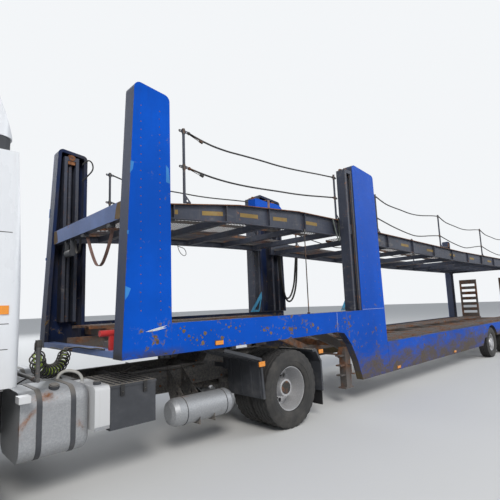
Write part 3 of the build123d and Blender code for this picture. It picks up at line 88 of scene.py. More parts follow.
# Slack of the hand ropes, upper then lower, as (share of the span, drop below the straight line)
FRONT_LAYS = (
    ((0.08, 0.062), (0.19, 0.093), (0.31, 0.084), (0.43, 0.078), (0.54, 0.082), (0.66, 0.068), (0.78, 0.043),
     (0.89, 0.018)),
    ((0.08, 0.047), (0.19, 0.082), (0.31, 0.093), (0.43, 0.087), (0.54, 0.076), (0.66, 0.070), (0.78, 0.051),
     (0.89, 0.024)),
)
REAR_LAYS = (
    ((0.1, 0.084), (0.21, 0.108), (0.33, 0.118), (0.45, 0.137), (0.56, 0.136), (0.67, 0.112), (0.78, 0.075),
     (0.9, 0.026)),
    ((0.1, 0.044), (0.21, 0.088), (0.33, 0.122), (0.44, 0.147), (0.55, 0.160), (0.67, 0.125), (0.78, 0.078),
     (0.9, 0.032)),
)

# Supply lines from the tractor's stand to the trailer's sill
COIL_ROUTE = ((6.720, 1.090, 1.319), (6.690, 0.965, 1.195), (6.600, 0.770, 1.100), (6.450, 0.570, 1.052),
              (6.310, 0.375, 1.058), (6.200, 0.190, 1.120), (6.125, 0.0, 1.200))
# Name, finish, radius of the helix, radius of the line, turns, and the angle that it starts at
SUPPLY_COILS = (
    ("supply_coil_black", "black_rubber", 0.066, 0.0065, 14, 0.0),
    ("supply_coil_inner", "black_rubber", 0.048, 0.0060, 16, 2.5),
    ("supply_coil_lime", "lime_hose", 0.031, 0.0060, 19, 1.2),
)


def make_camera():
    data = bpy.data.cameras.new("photo_camera")
    data.lens = CAMERA_LENS
    data.sensor_width = 36
    data.clip_end = 300
    camera = bpy.data.objects.new("photo_camera", data)
    bpy.context.scene.collection.objects.link(camera)
    axes = Matrix((CAMERA_RIGHT, [-v for v in CAMERA_DOWN], [-v for v in CAMERA_FORWARD])).transposed()
    camera.matrix_world = Matrix.Translation(CAMERA_PLACE) @ axes.to_4x4()
    bpy.context.scene.camera = camera


# Lights and floor

def make_light(name, place, target, size, power, colour=(1, 1, 1)):
    data = bpy.data.lights.new(name, "AREA")
    data.shape = "DISK"
    data.size = size
    data.energy = power
    data.color = colour
    lamp = bpy.data.objects.new(name, data)
    bpy.context.scene.collection.objects.link(lamp)
    lamp.location = place
    lamp.rotation_euler = (Vector(target) - Vector(place)).to_track_quat("-Z", "Y").to_euler()


def make_sky():
    """A soft sky for light, which the camera, glass and gloss see as plain pale grey."""
    world = bpy.data.worlds.new("studio_sky")
    bpy.context.scene.world = world
    world.use_nodes = True
    tree = world.node_tree
    tree.nodes.clear()
    skies = []
    for colour, strength in (((0.80, 0.86, 0.95, 1), 0.55), ((0.90, 0.92, 0.94, 1), 1.0)):
        sky = tree.nodes.new("ShaderNodeBackground")
        sky.inputs["Color"].default_value = colour
        sky.inputs["Strength"].default_value = strength
        skies.append(sky.outputs[0])
    path = tree.nodes.new("ShaderNodeLightPath")
    seen = path.outputs["Is Camera Ray"]
    for ray in ("Is Glossy Ray", "Is Transmission Ray"):
        either = tree.nodes.new("ShaderNodeMath")
        either.operation = "MAXIMUM"
        tree.links.new(seen, either.inputs[0])
        tree.links.new(path.outputs[ray], either.inputs[1])
        seen = either.outputs[0]
    mix = tree.nodes.new("ShaderNodeMixShader")
    for source, target in zip((seen, *skies), mix.inputs):
        tree.links.new(source, target)
    output = tree.nodes.new("ShaderNodeOutputWorld")
    tree.links.new(mix.outputs[0], output.inputs["Surface"])


def make_studio():
    bpy.context.scene.view_settings.view_transform = "Standard"
    make_sky()
    make_light("key_light", (16, 20, 18), (2, 0, 1.5), 10, 5600, (1, 0.97, 0.93))
    make_light("fill_light", (-18, 16, 12), (-2, 0, 1.5), 16, 2300, (0.93, 0.96, 1))
    make_light("back_light", (4, -24, 14), (0, 0, 1.5), 16, 2600, (0.95, 0.97, 1))
    reach = 120               # half of the floor's side
    corners = [(a * reach, b * reach, 0) for a, b in ((-1, -1), (1, -1), (1, 1), (-1, 1))]
    mesh = bpy.data.meshes.new("floor")
    mesh.from_pydata(corners, [], [(0, 1, 2, 3)])
    floor = bpy.data.objects.new("floor", mesh)
    bpy.context.scene.collection.objects.link(floor)
    material = bpy.data.materials.new("studio_floor")
    material.use_nodes = True
    shader = material.node_tree.nodes["Principled BSDF"]
    shader.inputs["Base Color"].default_value = (0.60, 0.60, 0.59, 1)
    shader.inputs["Roughness"].default_value = 0.9
    mesh.materials.append(material)


# Materials

class Graph:
    """A material's node tree, with short calls for the nodes that the finishes share."""

    def __init__(self):
        self.material = bpy.data.materials.new("finish")
        self.material.use_nodes = True
        self.tree = self.material.node_tree
        self.shader = self.tree.nodes["Principled BSDF"]
        self.place = self.tree.nodes.new("ShaderNodeTexCoord").outputs["Object"]

    def feed(self, socket, value):
        if isinstance(value, bpy.types.NodeSocket):
            self.tree.links.new(value, socket)
        else:
            socket.default_value = value

    def node(self, kind, inputs=None, **settings):
        """A new node: its settings, then its inputs by name or number."""
        made = self.tree.nodes.new("ShaderNode" + kind)
        for key, value in settings.items():
            setattr(made, key, value)
        for key, value in (inputs or {}).items():
            self.feed(made.inputs[key], value)
        return made

    def stretch(self, scale):
        """The place in the frame, scaled by axis."""
        return self.node("Mapping", {"Vector": self.place, "Scale": scale}).outputs[0]

    def noise(self, scale, detail=4, rough=0.55, vector=None, warp=0.0):
        made = self.node("TexNoise", {"Vector": vector or self.place, "Scale": scale, "Detail": detail,
                                      "Roughness": rough, "Distortion": warp})
        return made.outputs["Fac"]

    def bands(self, scale, direction):
        made = self.node("TexWave", {"Vector": self.place, "Scale": scale}, bands_direction=direction)
        return made.outputs["Fac"]

    def math(self, operation, a, b=0.0):
        return self.node("Math", {0: a, 1: b}, operation=operation).outputs[0]

    def times(self, first, *rest):
        for value in rest:
            first = self.math("MULTIPLY", first, value)
        return first

    def plus(self, first, *rest):
        for value in rest:
            first = self.math("ADD", first, value)
        return first

    def ramp(self, value, low, high):
        """0 below low and 1 above high, smoothly."""
        inputs = {"Value": value, "From Min": low, "From Max": high}
        return self.node("MapRange", inputs, interpolation_type="SMOOTHSTEP").outputs[0]

    def mix(self, share, a, b):
        a, b = ((*v, 1) if isinstance(v, tuple) else v for v in (a, b))
        return self.node("Mix", {0: share, 6: a, 7: b}, data_type="RGBA").outputs[2]

    def blend(self, share, a, b):
        """A number between a and b."""
        return self.node("Mix", {0: share, 2: a, 3: b}, data_type="FLOAT").outputs[0]

    def axes(self):
        """The place's own x, y and z."""
        return self.node("SeparateXYZ", {0: self.place}).outputs

    def normal(self):
        return self.node("NewGeometry").outputs["Normal"]

    def facing(self, axis):
        """1 where a surface faces along x, y or z, numbered 0 to 2."""
        return self.node("SeparateXYZ", {0: self.normal()}).outputs[axis]

    def softened(self, radius):
        """The normal that edges rounded by a radius would have."""
        return self.node("Bevel", {"Radius": radius}, samples=4).outputs[0]

    def edge(self, radius):
        """1 at a surface's edges, from how far a rounded normal leaves the true one."""
        dot = self.node("VectorMath", {0: self.softened(radius), 1: self.normal()}, operation="DOT_PRODUCT")
        return self.math("SUBTRACT", 1.0, dot.outputs["Value"])

    def bump(self, height, strength, distance, rounding=0.0):
        made = self.node("Bump", {"Height": height, "Strength": strength, "Distance": distance})
        if rounding:
            self.feed(made.inputs["Normal"], self.softened(rounding))
        self.feed(self.shader.inputs["Normal"], made.outputs[0])

    def finish(self, **values):
        """Sets the shader's inputs, whose spaces are written as underscores."""
        for key, value in values.items():
            self.feed(self.shader.inputs[key.replace("_", " ")], value)
        return self.material


RUST = (0.105, 0.040, 0.016)
PALE_RUST = (0.27, 0.115, 0.048)
DUST = (0.30, 0.27, 0.23)
SOOT = (0.022, 0.020, 0.019)
BRACE_BLUE = (0.075, 0.31, 0.50)


def shade(colour, share):
    return tuple(min(1, c * share) for c in colour)


def weather(g):
    """What both kinds of sprayed steel share: clouds, fine grain, upright streaks and edges."""
    streaks = g.noise(7, 6, 0.72, g.stretch((2.4, 2.4, 0.14)))
    return g.noise(0.9, 6, 0.6), g.noise(38, 5, 0.65), streaks, g.ramp(g.edge(0.006), 0.02, 0.25)


def worn_paint(colour, worn=0.5, dirt=0.5, rough=0.42):
    """Sprayed steel: faded patches, streaks, road dirt that gathers low down, chips and rust at edges."""
    g = Graph()
    faded = tuple(min(1, c * 1.22 + 0.012) for c in colour)
    clouds, fine, streaks, edges = weather(g)
    base = g.mix(g.ramp(clouds, 0.32, 0.72), shade(colour, 0.74), faded)
    base = g.mix(g.times(g.ramp(streaks, 0.50, 0.74), 0.40 * dirt), base, shade(DUST, 0.4))
    wipes = g.noise(3.2, 7, 0.75, g.stretch((0.5, 1.0, 2.2)), warp=1.2)
    base = g.mix(g.times(g.ramp(wipes, 0.56, 0.70), 0.30 * dirt), base, DUST)
    grime = g.ramp(g.plus(g.axes()[2], g.times(clouds, 0.9)), 2.1, 0.5)
    base = g.mix(g.times(grime, g.ramp(fine, 0.3, 0.7), 0.60 * dirt), base, DUST)
    scatter = g.plus(g.noise(9, 8, 0.72), g.times(fine, 0.25), g.times(edges, 0.14),
                     g.times(grime, 0.035 * worn))
    chips = g.ramp(scatter, 0.90 - 0.12 * worn, 0.93 - 0.12 * worn)
    halo = g.ramp(scatter, 0.83 - 0.12 * worn, 0.93 - 0.12 * worn)
    base = g.mix(g.times(halo, 0.35), base, PALE_RUST)
    base = g.mix(chips, base, g.mix(fine, RUST, PALE_RUST))
    g.bump(g.math("SUBTRACT", g.times(fine, 0.12), chips), 0.35, 0.0012, 0.005)
    shine = g.blend(g.ramp(fine, 0.3, 0.8), rough, rough + 0.16)
    return g.finish(Base_Color=base, Roughness=g.blend(chips, shine, 0.85))


def side_paint(colour):
    """The trailer's paint: clean outside, painted shade inside its posts, chipped in clusters and muddy low
    down.
    """
    g = Graph()
    x, y, z = g.axes()
    clouds, fine, streaks, edges = weather(g)
    base = g.mix(g.ramp(clouds, 0.32, 0.72), shade(colour, 0.84), shade(colour, 1.12))
    base = g.mix(g.times(g.ramp(streaks, 0.54, 0.76), 0.16), base, SOOT)
    braces = g.times(g.ramp(x, 1.818, 1.822), g.ramp(x, 2.5, 2.4), g.ramp(z, 1.488, 1.492))
    base = g.mix(braces, base, BRACE_BLUE)
    # Painted shade: steel set back inside the posts, behind their outer faces, is darkened in blotches, and
    # less so on faces that face along the vehicle.
    reach = g.math("ABSOLUTE", y)
    inside = g.times(g.ramp(reach, 1.272, 1.266), g.ramp(reach, 1.060, 1.068))
    across = g.ramp(g.math("ABSOLUTE", g.facing(0)), 0.6, 0.9)
    blotches = g.noise(3.4, 7, 0.7, g.stretch((1, 1, 0.4)))
    post_shade = g.mix(g.ramp(blotches, 0.38, 0.66), (0.012, 0.022, 0.065), (0.040, 0.040, 0.050))
    post_shade = g.mix(g.times(across, 0.75), post_shade, (0.070, 0.080, 0.115))
    base = g.mix(g.times(inside, g.math("SUBTRACT", 1.0, braces), g.ramp(blotches, 0.05, 0.30)), base, post_shade)
    low = g.ramp(g.plus(z, g.times(clouds, 0.6)), 2.9, 1.7)
    gathered = g.math("SUBTRACT", g.noise(1.5, 4, 0.6), 0.5)
    scatter = g.plus(g.noise(13, 6, 0.62, warp=0.4), g.times(low, 0.125), g.times(gathered, 0.62),
                     g.times(edges, 0.16))
    chips = g.ramp(scatter, 0.765, 0.785)
    base = g.mix(g.times(g.ramp(scatter, 0.70, 0.785), 0.28), base, (0.14, 0.16, 0.22))
    base = g.mix(chips, base, g.mix(g.ramp(fine, 0.3, 0.7), (0.070, 0.045, 0.024), (0.20, 0.135, 0.070)))
    splash = g.noise(4.2, 9, 0.78, g.stretch((0.55, 1, 1.2)), warp=0.3)
    splash = g.plus(splash, g.times(g.ramp(z, 1.02, 0.42), 0.26), g.times(fine, 0.26))
    mud = g.times(g.ramp(splash, 0.60, 0.94), g.ramp(z, 1.15, 0.90))
    base = g.mix(g.times(mud, 0.92), base, g.mix(fine, (0.060, 0.046, 0.024), (0.150, 0.118, 0.062)))
    foot = g.times(g.ramp(z, 1.27, 1.17), g.ramp(x, 5.15, 5.65), g.ramp(g.noise(6, 6, 0.7), 0.30, 0.55))
    base = g.mix(g.times(foot, 0.8), base, (0.045, 0.040, 0.036))
    g.bump(g.math("SUBTRACT", g.times(fine, 0.10), chips), 0.35, 0.0012, 0.005)
    rough = g.blend(g.math("MAXIMUM", chips, mud), g.blend(g.ramp(fine, 0.3, 0.8), 0.40, 0.55), 0.88)
    return g.finish(Base_Color=base, Roughness=rough, Specular_IOR_Level=0.07)


def cab_paint(colour):
    """Glossy pale paint with road film towards its foot and fine runs of dirt."""
    g = Graph()
    film = g.noise(2.0, 6, 0.6, g.stretch((1, 1, 0.5)))
    runs = g.noise(9, 5, 0.7, g.stretch((2.6, 2.6, 0.12)))
    base = g.mix(g.ramp(film, 0.3, 0.8), shade(colour, 0.93), colour)
    base = g.mix(g.times(g.ramp(runs, 0.55, 0.78), 0.12), base, DUST)
    low = g.ramp(g.plus(g.axes()[2], g.times(film, 0.5)), 1.9, 1.0)
    base = g.mix(g.times(low, 0.30), base, DUST)
    g.bump(g.noise(3, 3, 0.5), 0.08, 0.004, 0.006)
    rough = g.blend(g.ramp(film, 0.3, 0.8), 0.24, 0.40)
    return g.finish(Base_Color=base, Roughness=rough, Coat_Weight=0.25, Coat_Roughness=0.15)


def bare_steel(colour, rust=0.6, rough=0.55, metal=0.7, grain=2.4):
    """Steel worn bright where it rubs, and rusted in clouds elsewhere."""
    g = Graph()
    clouds = g.noise(grain, 8, 0.68, warp=0.4)
    fine = g.noise(60, 6, 0.7)
    mask = g.ramp(g.plus(clouds, g.times(fine, 0.22)), 0.74 - 0.34 * rust, 0.92 - 0.3 * rust)
    base = g.mix(g.ramp(fine, 0.3, 0.75), shade(colour, 0.75), colour)
    rusty = g.mix(g.ramp(g.noise(14, 6, 0.7), 0.35, 0.7), RUST, PALE_RUST)
    g.bump(g.plus(fine, g.times(mask, 0.4)), 0.3, 0.001, 0.003)
    return g.finish(Base_Color=g.mix(mask, base, rusty), Metallic=g.blend(mask, metal, 0.0),
                    Roughness=g.blend(mask, g.blend(fine, rough - 0.1, rough + 0.12), 0.92))


def plastic(colour, rough=0.5, dirt=0.35, grain=180):
    """Moulded plastic or rubber with a fine grain and dust on what faces up."""
    g = Graph()
    fine = g.noise(grain, 4, 0.6)
    clouds = g.noise(3.1, 6, 0.62)
    base = g.mix(g.ramp(clouds, 0.3, 0.75), shade(colour, 0.8), shade(colour, 1.25))
    dusty = g.times(g.ramp(g.plus(g.facing(2), g.times(clouds, 0.9)), 0.5, 1.5), dirt)
    base = g.mix(g.plus(dusty, g.times(g.ramp(clouds, 0.5, 0.8), 0.3 * dirt)), base, DUST)
    g.bump(fine, 0.18, 0.0006, 0.003)
    return g.finish(Base_Color=base, Roughness=g.blend(fine, rough - 0.06, rough + 0.16))


def tread_rubber():
    """Tread rubber with pale dust on its side walls and darker ribs."""
    g = Graph()
    clouds = g.noise(5, 6, 0.65)
    fine = g.noise(220, 4, 0.6)
    side = g.math("ABSOLUTE", g.facing(1))
    dusty = g.times(g.ramp(side, 0.3, 0.95), g.ramp(clouds, 0.35, 0.8), 0.28)
    base = g.mix(dusty, g.mix(fine, (0.014, 0.014, 0.015), (0.032, 0.031, 0.030)), (0.16, 0.145, 0.125))
    g.bump(fine, 0.2, 0.0006, 0.003)
    return g.finish(Base_Color=base, Roughness=g.blend(fine, 0.72, 0.92))


def glass(tint):
    g = Graph()
    smear = g.blend(g.ramp(g.noise(5, 5, 0.6), 0.4, 0.8), 0.02, 0.10)
    return g.finish(Base_Color=tint, Roughness=smear, Transmission_Weight=0.92, IOR=1.45)


def lens(colour):
    """A lamp's coloured cover, with moulded ribs behind its face."""
    g = Graph()
    ribs = g.bands(40, "X")
    g.bump(ribs, 0.25, 0.001)
    base = g.mix(ribs, shade(colour, 0.75), colour)
    return g.finish(Base_Color=base, Roughness=g.blend(g.noise(80), 0.12, 0.3), Coat_Weight=0.6)


def web_strap(colour):
    """Flat woven webbing, dirty."""
    g = Graph()
    weave = g.times(g.bands(220, "X"), g.bands(220, "Z"))
    blotches = g.noise(8, 6, 0.7)
    base = g.mix(weave, shade(colour, 0.55), colour)
    g.bump(weave, 0.5, 0.001)
    return g.finish(Base_Color=g.mix(g.times(g.ramp(blotches, 0.4, 0.75), 0.5), base, SOOT),
                    Roughness=g.blend(blotches, 0.8, 0.95))


MATERIALS = {
    "blue_paint": side_paint((0.0015, 0.069, 0.43)),
    "faded_blue": worn_paint((0.125, 0.190, 0.400), worn=0.80, dirt=0.45, rough=0.55),
    "navy_paint": worn_paint((0.020, 0.026, 0.046), worn=0.95, dirt=0.8, rough=0.6),
    "worn_steel": bare_steel((0.17, 0.155, 0.145), rough=0.62),
    "mesh_steel": bare_steel((0.11, 0.10, 0.095), rust=0.5, rough=0.6, metal=0.5),
    "dark_steel": bare_steel((0.06, 0.058, 0.056), rust=0.45, rough=0.5, metal=0.6, grain=9),
    "black_rubber": plastic((0.012, 0.012, 0.013), rough=0.55),
    "chassis_paint": worn_paint((0.040, 0.041, 0.044), dirt=1.0, rough=0.6),
    "tank_metal": bare_steel((0.36, 0.37, 0.385), rust=0.16, rough=0.5, metal=0.45),
    "dark_plastic": plastic((0.034, 0.037, 0.044), rough=0.55, dirt=0.5),
    "white_paint": cab_paint((0.66, 0.68, 0.71)),
    "clear_glass": glass((0.55, 0.66, 0.66, 1)),
    "interior_plastic": plastic((0.09, 0.09, 0.095), rough=0.65, dirt=0.1),
    "amber_lamp": lens((0.82, 0.28, 0.016)),
    "red_lens": lens((0.50, 0.008, 0.008)),
    "red_paint": worn_paint((0.45, 0.02, 0.02), worn=0.2, dirt=0.4),
    "tyre_rubber": tread_rubber(),
    "wheel_metal": bare_steel((0.60, 0.60, 0.61), rust=0.08, rough=0.42, metal=0.55, grain=6),
    "rust": bare_steel((0.10, 0.05, 0.03), rust=1.0, rough=0.8, metal=0.2, grain=12),
    "cyan_paint": worn_paint((0.008, 0.175, 0.50), worn=0.4, dirt=0.3, rough=0.55),
    "scraped": bare_steel((0.58, 0.60, 0.64), rust=0.1, rough=0.5, metal=0.2, grain=30),
    "old_rust": plastic((0.125, 0.082, 0.040), rough=0.85, dirt=0.5, grain=70),
    "grease": plastic((0.014, 0.013, 0.012), rough=0.35, dirt=0.1, grain=60),
    "yellow_tape": worn_paint((0.20, 0.130, 0.030), worn=1.3, dirt=0.9, rough=0.7),
    "lime_hose": plastic((0.33, 0.46, 0.045), rough=0.4, dirt=0.3),
    "grey_hose": plastic((0.38, 0.38, 0.36), dirt=0.5, grain=90),
    "strap_web": web_strap((0.30, 0.18, 0.15)),
    "grey_web": web_strap((0.20, 0.23, 0.21)),
    "mirror": bare_steel((0.75, 0.77, 0.80), rust=0.0, rough=0.16, metal=1.0),
}
for name, material in MATERIALS.items():
    material.name = name


def dress_nodes():
    """Each solid of the frame takes the finish of its own slot."""
    for item in frame["record"]["subparts"]:
        node = frame["nodes"][item["node"]]
        node.data.materials.clear()
        node.data.materials.append(MATERIALS[item["material_slot"]])


# Small solids

def on_side(a, b, d):
    """An outline's x and z at a depth across the vehicle."""
    return a, d, b


def on_end(a, b, d):
    """An outline's y and z at a depth along the vehicle."""
    return d, a, b


def on_top(a, b, d):
    """An outline's x and y at a height."""
    return a, b, d


def all_round(count):
    """Angles that share a full turn."""
    return [2 * math.pi * k / count for k in range(count)]


def headings(path):
    """A path's direction at each of its points."""
    steps = [(b - a).normalized() for a, b in zip(path, path[1:])]
    return [steps[0], *[(a + b).normalized() for a, b in zip(steps, steps[1:])], steps[-1]]


SHARP_ANGLE = math.radians(35)


class Shape:
    """One mesh put together from simple closed solids."""

    def __init__(self):
        self.points = []
        self.faces = []

    def add(self, points, faces):
        start = len(self.points)
        self.points += [tuple(p) for p in points]
        self.faces += [[start + i for i in face] for face in faces]

    def skin(self, rings, loop=False):
        """Faces over rings with as many points each, closed at both ends or joined into a loop."""
        n, count = len(rings[0]), len(rings)
        faces = [] if loop else [range(n)[::-1], range((count - 1) * n, count * n)]
        for i in range(count if loop else count - 1):
            here, there = i * n, (i + 1) % count * n
            faces += [(here + k, here + (k + 1) % n, there + (k + 1) % n, there + k) for k in range(n)]
        self.add([p for ring in rings for p in ring], faces)

    def box(self, x, y, z):
        self.add([(a, b, c) for a in x for b in y for c in z],
                 [(0, 1, 3, 2), (4, 6, 7, 5), (0, 4, 5, 1), (2, 3, 7, 6), (0, 2, 6, 4), (1, 5, 7, 3)])

    def prism(self, outline, depth, place):
        """An outline of (a, b) made solid between two depths; place turns a, b and depth into x, y, z."""
        self.skin([[place(a, b, d) for a, b in outline] for d in depth])

    def side(self, outline, y):
        self.prism(outline, y, on_side)

    def frame(self, outer, inner, depth, place):
        """The ring between two outlines with as many points each."""
        near, far = depth
        self.skin([[place(*a, near), place(*b, near), place(*b, far), place(*a, far)]
                   for a, b in zip(outer, inner)], loop=True)

    def lathe(self, centre, axis, profile, sides=32, notch=None):
        """A closed profile of (along, radius) turned about an axis; notch(i, k) is taken off a radius."""
        centre = Vector(centre)
        turn = Vector(axis).to_track_quat("Z", "Y").to_matrix()
        along = turn @ Vector((0, 0, 1))
        rings = []
        for k, angle in enumerate(all_round(sides)):
            out = turn @ Vector((math.cos(angle), math.sin(angle), 0))
            rings.append([centre + along * a + out * (r - (notch(i, k) if notch else 0))
                          for i, (a, r) in enumerate(profile)])
        self.skin(rings, loop=True)

    def rod(self, start, end, radius, sides=16, end_radius=None):
        start, end = Vector(start), Vector(end)
        turn = (end - start).to_track_quat("Z", "Y").to_matrix()
        spokes = [turn @ Vector((math.cos(a), math.sin(a), 0)) for a in all_round(sides)]
        far = radius if end_radius is None else end_radius
        self.skin([[start + s * radius for s in spokes], [end + s * far for s in spokes]])

    def hoop(self, centre, axis, radius, thick, sides=24, across=8):
        circle = [(thick * math.sin(a), radius + thick * math.cos(a)) for a in all_round(across)]
        self.lathe(centre, axis, circle, sides)

    def tube(self, path, radius, sides=8):
        """A round tube along points, turned from one to the next by the least twist."""
        path = [Vector(p) for p in path]
        steps = headings(path)
        spoke = steps[0].orthogonal().normalized()
        rings = []
        for place, step in zip(path, steps):
            spoke = (spoke - step * spoke.dot(step)).normalized()
            other = step.cross(spoke)
            rings.append([place + (spoke * math.cos(a) + other * math.sin(a)) * radius
                          for a in all_round(sides)])
        self.skin(rings)

    def strap(self, path, fixed, half):
        """A flat strap along points: half of its section as a fixed vector, and the other half's length."""
        fixed = Vector(fixed)
        rings = []
        for place, step in zip(path, headings(path)):
            out = fixed.cross(step).normalized() * half
            thin, wide = sorted((fixed, out), key=lambda v: v.length)
            rings.append([place - wide - thin, place + wide - thin, place + wide + thin, place - wide + thin])
        self.skin(rings)

    def mirror(self):
        """Adds the same again on the other side of the vehicle."""
        n = len(self.points)
        self.points += [(x, -y, z) for x, y, z in self.points]
        self.faces += [[n + i for i in reversed(face)] for face in self.faces]
        return self

    def make(self, name, finish, body, replaces=()):
        """The mesh as a piece of the object that moves with a body."""
        mesh = bpy.data.meshes.new(name)
        mesh.from_pydata(self.points, [], self.faces)
        work = bmesh.new()
        work.from_mesh(mesh)
        bmesh.ops.recalc_face_normals(work, faces=work.faces)
        work.to_mesh(mesh)
        work.free()
        mesh.shade_smooth()
        mesh.set_sharp_from_angle(angle=SHARP_ANGLE)
        mesh.materials.append(MATERIALS[finish])
        piece = bpy.data.objects.new(name, mesh)
        bpy.context.scene.collection.objects.link(piece)
        if replaces:
            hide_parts(*replaces)
        if body:
            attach(piece, body)
        return piece


def both(side, low, high):
    """A span of y on one side of the vehicle."""
    return sorted((side * low, side * high))


def grown(span, by):
    return span[0] - by, span[1] + by


def line_at(points, x):
    """z at x on a line of (x, z) that runs rearwards."""
    for (x0, z0), (x1, z1) in zip(points, points[1:]):
        if x1 <= x <= x0:
            return z1 + (z0 - z1) * (x - x1) / (x0 - x1)
    return points[0][1] if x > points[0][0] else points[-1][1]


def deck_top(deck):
    return [(x, t) for x, t, b in deck]


def rounded(a, b, radius, steps=5):
    """A rectangle between two a and two b with round corners, as points."""
    corners = ((a[1], b[1], 0), (a[0], b[1], 1), (a[0], b[0], 2), (a[1], b[0], 3))
    points = []
    for p, q, k in corners:
        centre = (p - math.copysign(radius, p - sum(a) / 2), q - math.copysign(radius, q - sum(b) / 2))
        for i in range(steps + 1):
            angle = math.pi / 2 * (k + i / steps)
            points.append((centre[0] + radius * math.cos(angle), centre[1] + radius * math.sin(angle)))
    return points


# Cords: ropes between the rail posts, curly supply lines, hoses and straps

def soft_line(name, route, resolution=12):
    """A smooth curve with the route's points as its control points."""
    curve = bpy.data.curves.new(name, "CURVE")
    curve.dimensions = "3D"
    curve.resolution_u = resolution
    spline = curve.splines.new("NURBS")
    spline.points.add(len(route) - 1)
    for point, place in zip(spline.points, route):
        point.co = (*place, 1)
    spline.order_u = 3
    spline.use_endpoint_u = True
    return curve


def points_along(curve):
    """The points of a curve that has no bevel yet."""
    holder = bpy.data.objects.new("route", curve)
    bpy.context.scene.collection.objects.link(holder)
    bpy.context.view_layer.update()
    mesh = bpy.data.meshes.new_from_object(holder)
    places = [v.co.copy() for v in mesh.vertices]
    bpy.data.objects.remove(holder)
    bpy.data.meshes.remove(mesh)
    return places


def bent(route, resolution=6):
    """The points of a smooth line by a short route."""
    return points_along(soft_line("short_line", route, resolution))


def rope_route(deck, start, end, eye, lay, side):
    """From one rail post's eye to the next one's, clear of both tips."""
    top = deck_top(deck)
    x0, z0 = start[0] - EYE_REACH, line_at(top, start[0]) + start[eye]
    x1, z1 = end[0] + EYE_REACH, line_at(top, end[0]) + end[eye]
    route = [Vector((x0 + (x1 - x0) * t, side * RAIL_Y, z0 + (z1 - z0) * t - drop))
             for t, drop in ((0, 0), *lay, (1, 0))]
    for tip, near in ((0, 1), (-1, -2)):
        run = route[near] - route[tip]
        route[tip] = route[tip] + run.normalized() * (SEAT + EYE_TIP * abs(run.z / run.x))
    return route


def make_ropes():
    spans = [("front_deck", FRONT_DECK, *FRONT_RAILS, FRONT_LAYS)]
    spans += [("rear_deck", REAR_DECK, a, b, REAR_LAYS) for a, b in zip(REAR_RAILS, REAR_RAILS[1:])]
    for k, (body, deck, start, end, lays) in enumerate(spans):
        for eye, level, lay in zip((2, 3), ("upper", "lower"), lays):
            for side, hand in SIDES:
                name = f"hand_rope_{k}_{level}_{hand}"
                curve = soft_line(name, rope_route(deck, start, end, eye, lay, side))
                places = points_along(curve)
                curve.bevel_depth = ROPE_RADIUS
                curve.bevel_resolution = 2
                curve.use_fill_caps = True
                curve.materials.append(MATERIALS["black_rubber"])
                rope = bpy.data.objects.new(name, curve)
                bpy.context.scene.collection.objects.link(rope)
                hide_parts(body + "_ropes")
                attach(rope, body)


COIL_STEPS = 12      # points of the helix for each turn


def helix_route(centre, radius, turns, start):
    """Points that wind about a centre line, drawn in to it at both ends."""
    reach = [0.0]
    for a, b in zip(centre, centre[1:]):
        reach.append(reach[-1] + (b - a).length)
    route = []
    steps = turns * COIL_STEPS
    spoke = None
    k = 1
    for i in range(steps + 1):
        at = reach[-1] * i / steps
        while k < len(centre) - 1 and reach[k] < at:
            k += 1
        share = (at - reach[k - 1]) / (reach[k] - reach[k - 1])
        along = (centre[k] - centre[k - 1]).normalized()
        spoke = along.orthogonal() if spoke is None else spoke - along * spoke.dot(along)
        spoke.normalize()
        angle = 2 * math.pi * i / COIL_STEPS + start
        out = spoke * math.cos(angle) + along.cross(spoke) * math.sin(angle)
        swell = min(1, i / COIL_STEPS, (steps - i) / COIL_STEPS)
        route.append(centre[k - 1].lerp(centre[k], share) + out * radius * swell)
    return route


def make_supply_coils():
    """Curly lines, one inside the other, from the tractor's stand to the trailer's front sill."""
    centre = points_along(soft_line("supply_route", COIL_ROUTE, 24))
    for name, finish, radius, wire, turns, start in SUPPLY_COILS:
        helix = points_along(soft_line(name + "_line", helix_route(centre, radius, turns, start), 2))
        coil = Shape()
        coil.tube(helix, wire)
        piece = coil.make(name, finish, None, ("supply_coil",))
        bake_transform(piece)


# Name, finish, body, radius, and route of each hose that hangs free
HOSE_LOOPS = (
    ("post_hose_loop", "black_rubber", "trailer", 0.011,
     ((5.56, -1.10, 3.86), (5.50, -1.06, 3.95), (5.44, -1.02, 3.90), (5.43, -1.00, 3.78), (5.50, -1.04, 3.68),
      (5.56, -1.10, 3.60))),
    ("deck_hose_loop_1", "black_rubber", "rear_deck", 0.020,
     ((1.30, -1.00, 2.68), (1.28, -1.00, 2.42), (1.24, -1.00, 1.98), (1.14, -1.00, 1.68), (0.96, -1.00, 1.68),
      (0.80, -1.00, 1.98), (0.74, -1.00, 2.42), (0.72, -1.00, 2.67))),
    ("deck_hose_loop_2", "black_rubber", "rear_deck", 0.020,
     ((1.31, -1.044, 2.68), (1.28, -1.044, 2.42), (1.23, -1.044, 2.04), (1.13, -1.044, 1.75),
      (0.97, -1.044, 1.75), (0.81, -1.044, 2.04), (0.75, -1.044, 2.42), (0.71, -1.044, 2.67))),
    ("grey_hose", "grey_hose", "tractor", 0.016,
     ((6.40, 0.60, 0.970), (6.39, 0.60, 1.015), (6.32, 0.61, 1.055), (6.22, 0.66, 1.030), (6.19, 0.70, 0.975),
      (6.19, 0.705, 0.944))),
)
STRAP_THICK = 0.003
END_STRAP_X = 5.885
# Name, finish, width and route, as y and z, of each strap that hangs under the front deck's end beam
END_STRAPS = (
    ("lashing_strap", "strap_web", 0.040,
     ((-0.02, 2.560), (0.08, 2.40), (0.20, 2.24), (0.30, 2.150), (0.42, 2.150), (0.53, 2.25), (0.64, 2.40),
      (0.72, 2.560))),
    ("short_strap", "black_rubber", 0.028,
     ((-0.40, 2.560), (-0.41, 2.44), (-0.33, 2.36), (-0.25, 2.42), (-0.24, 2.560))),
)
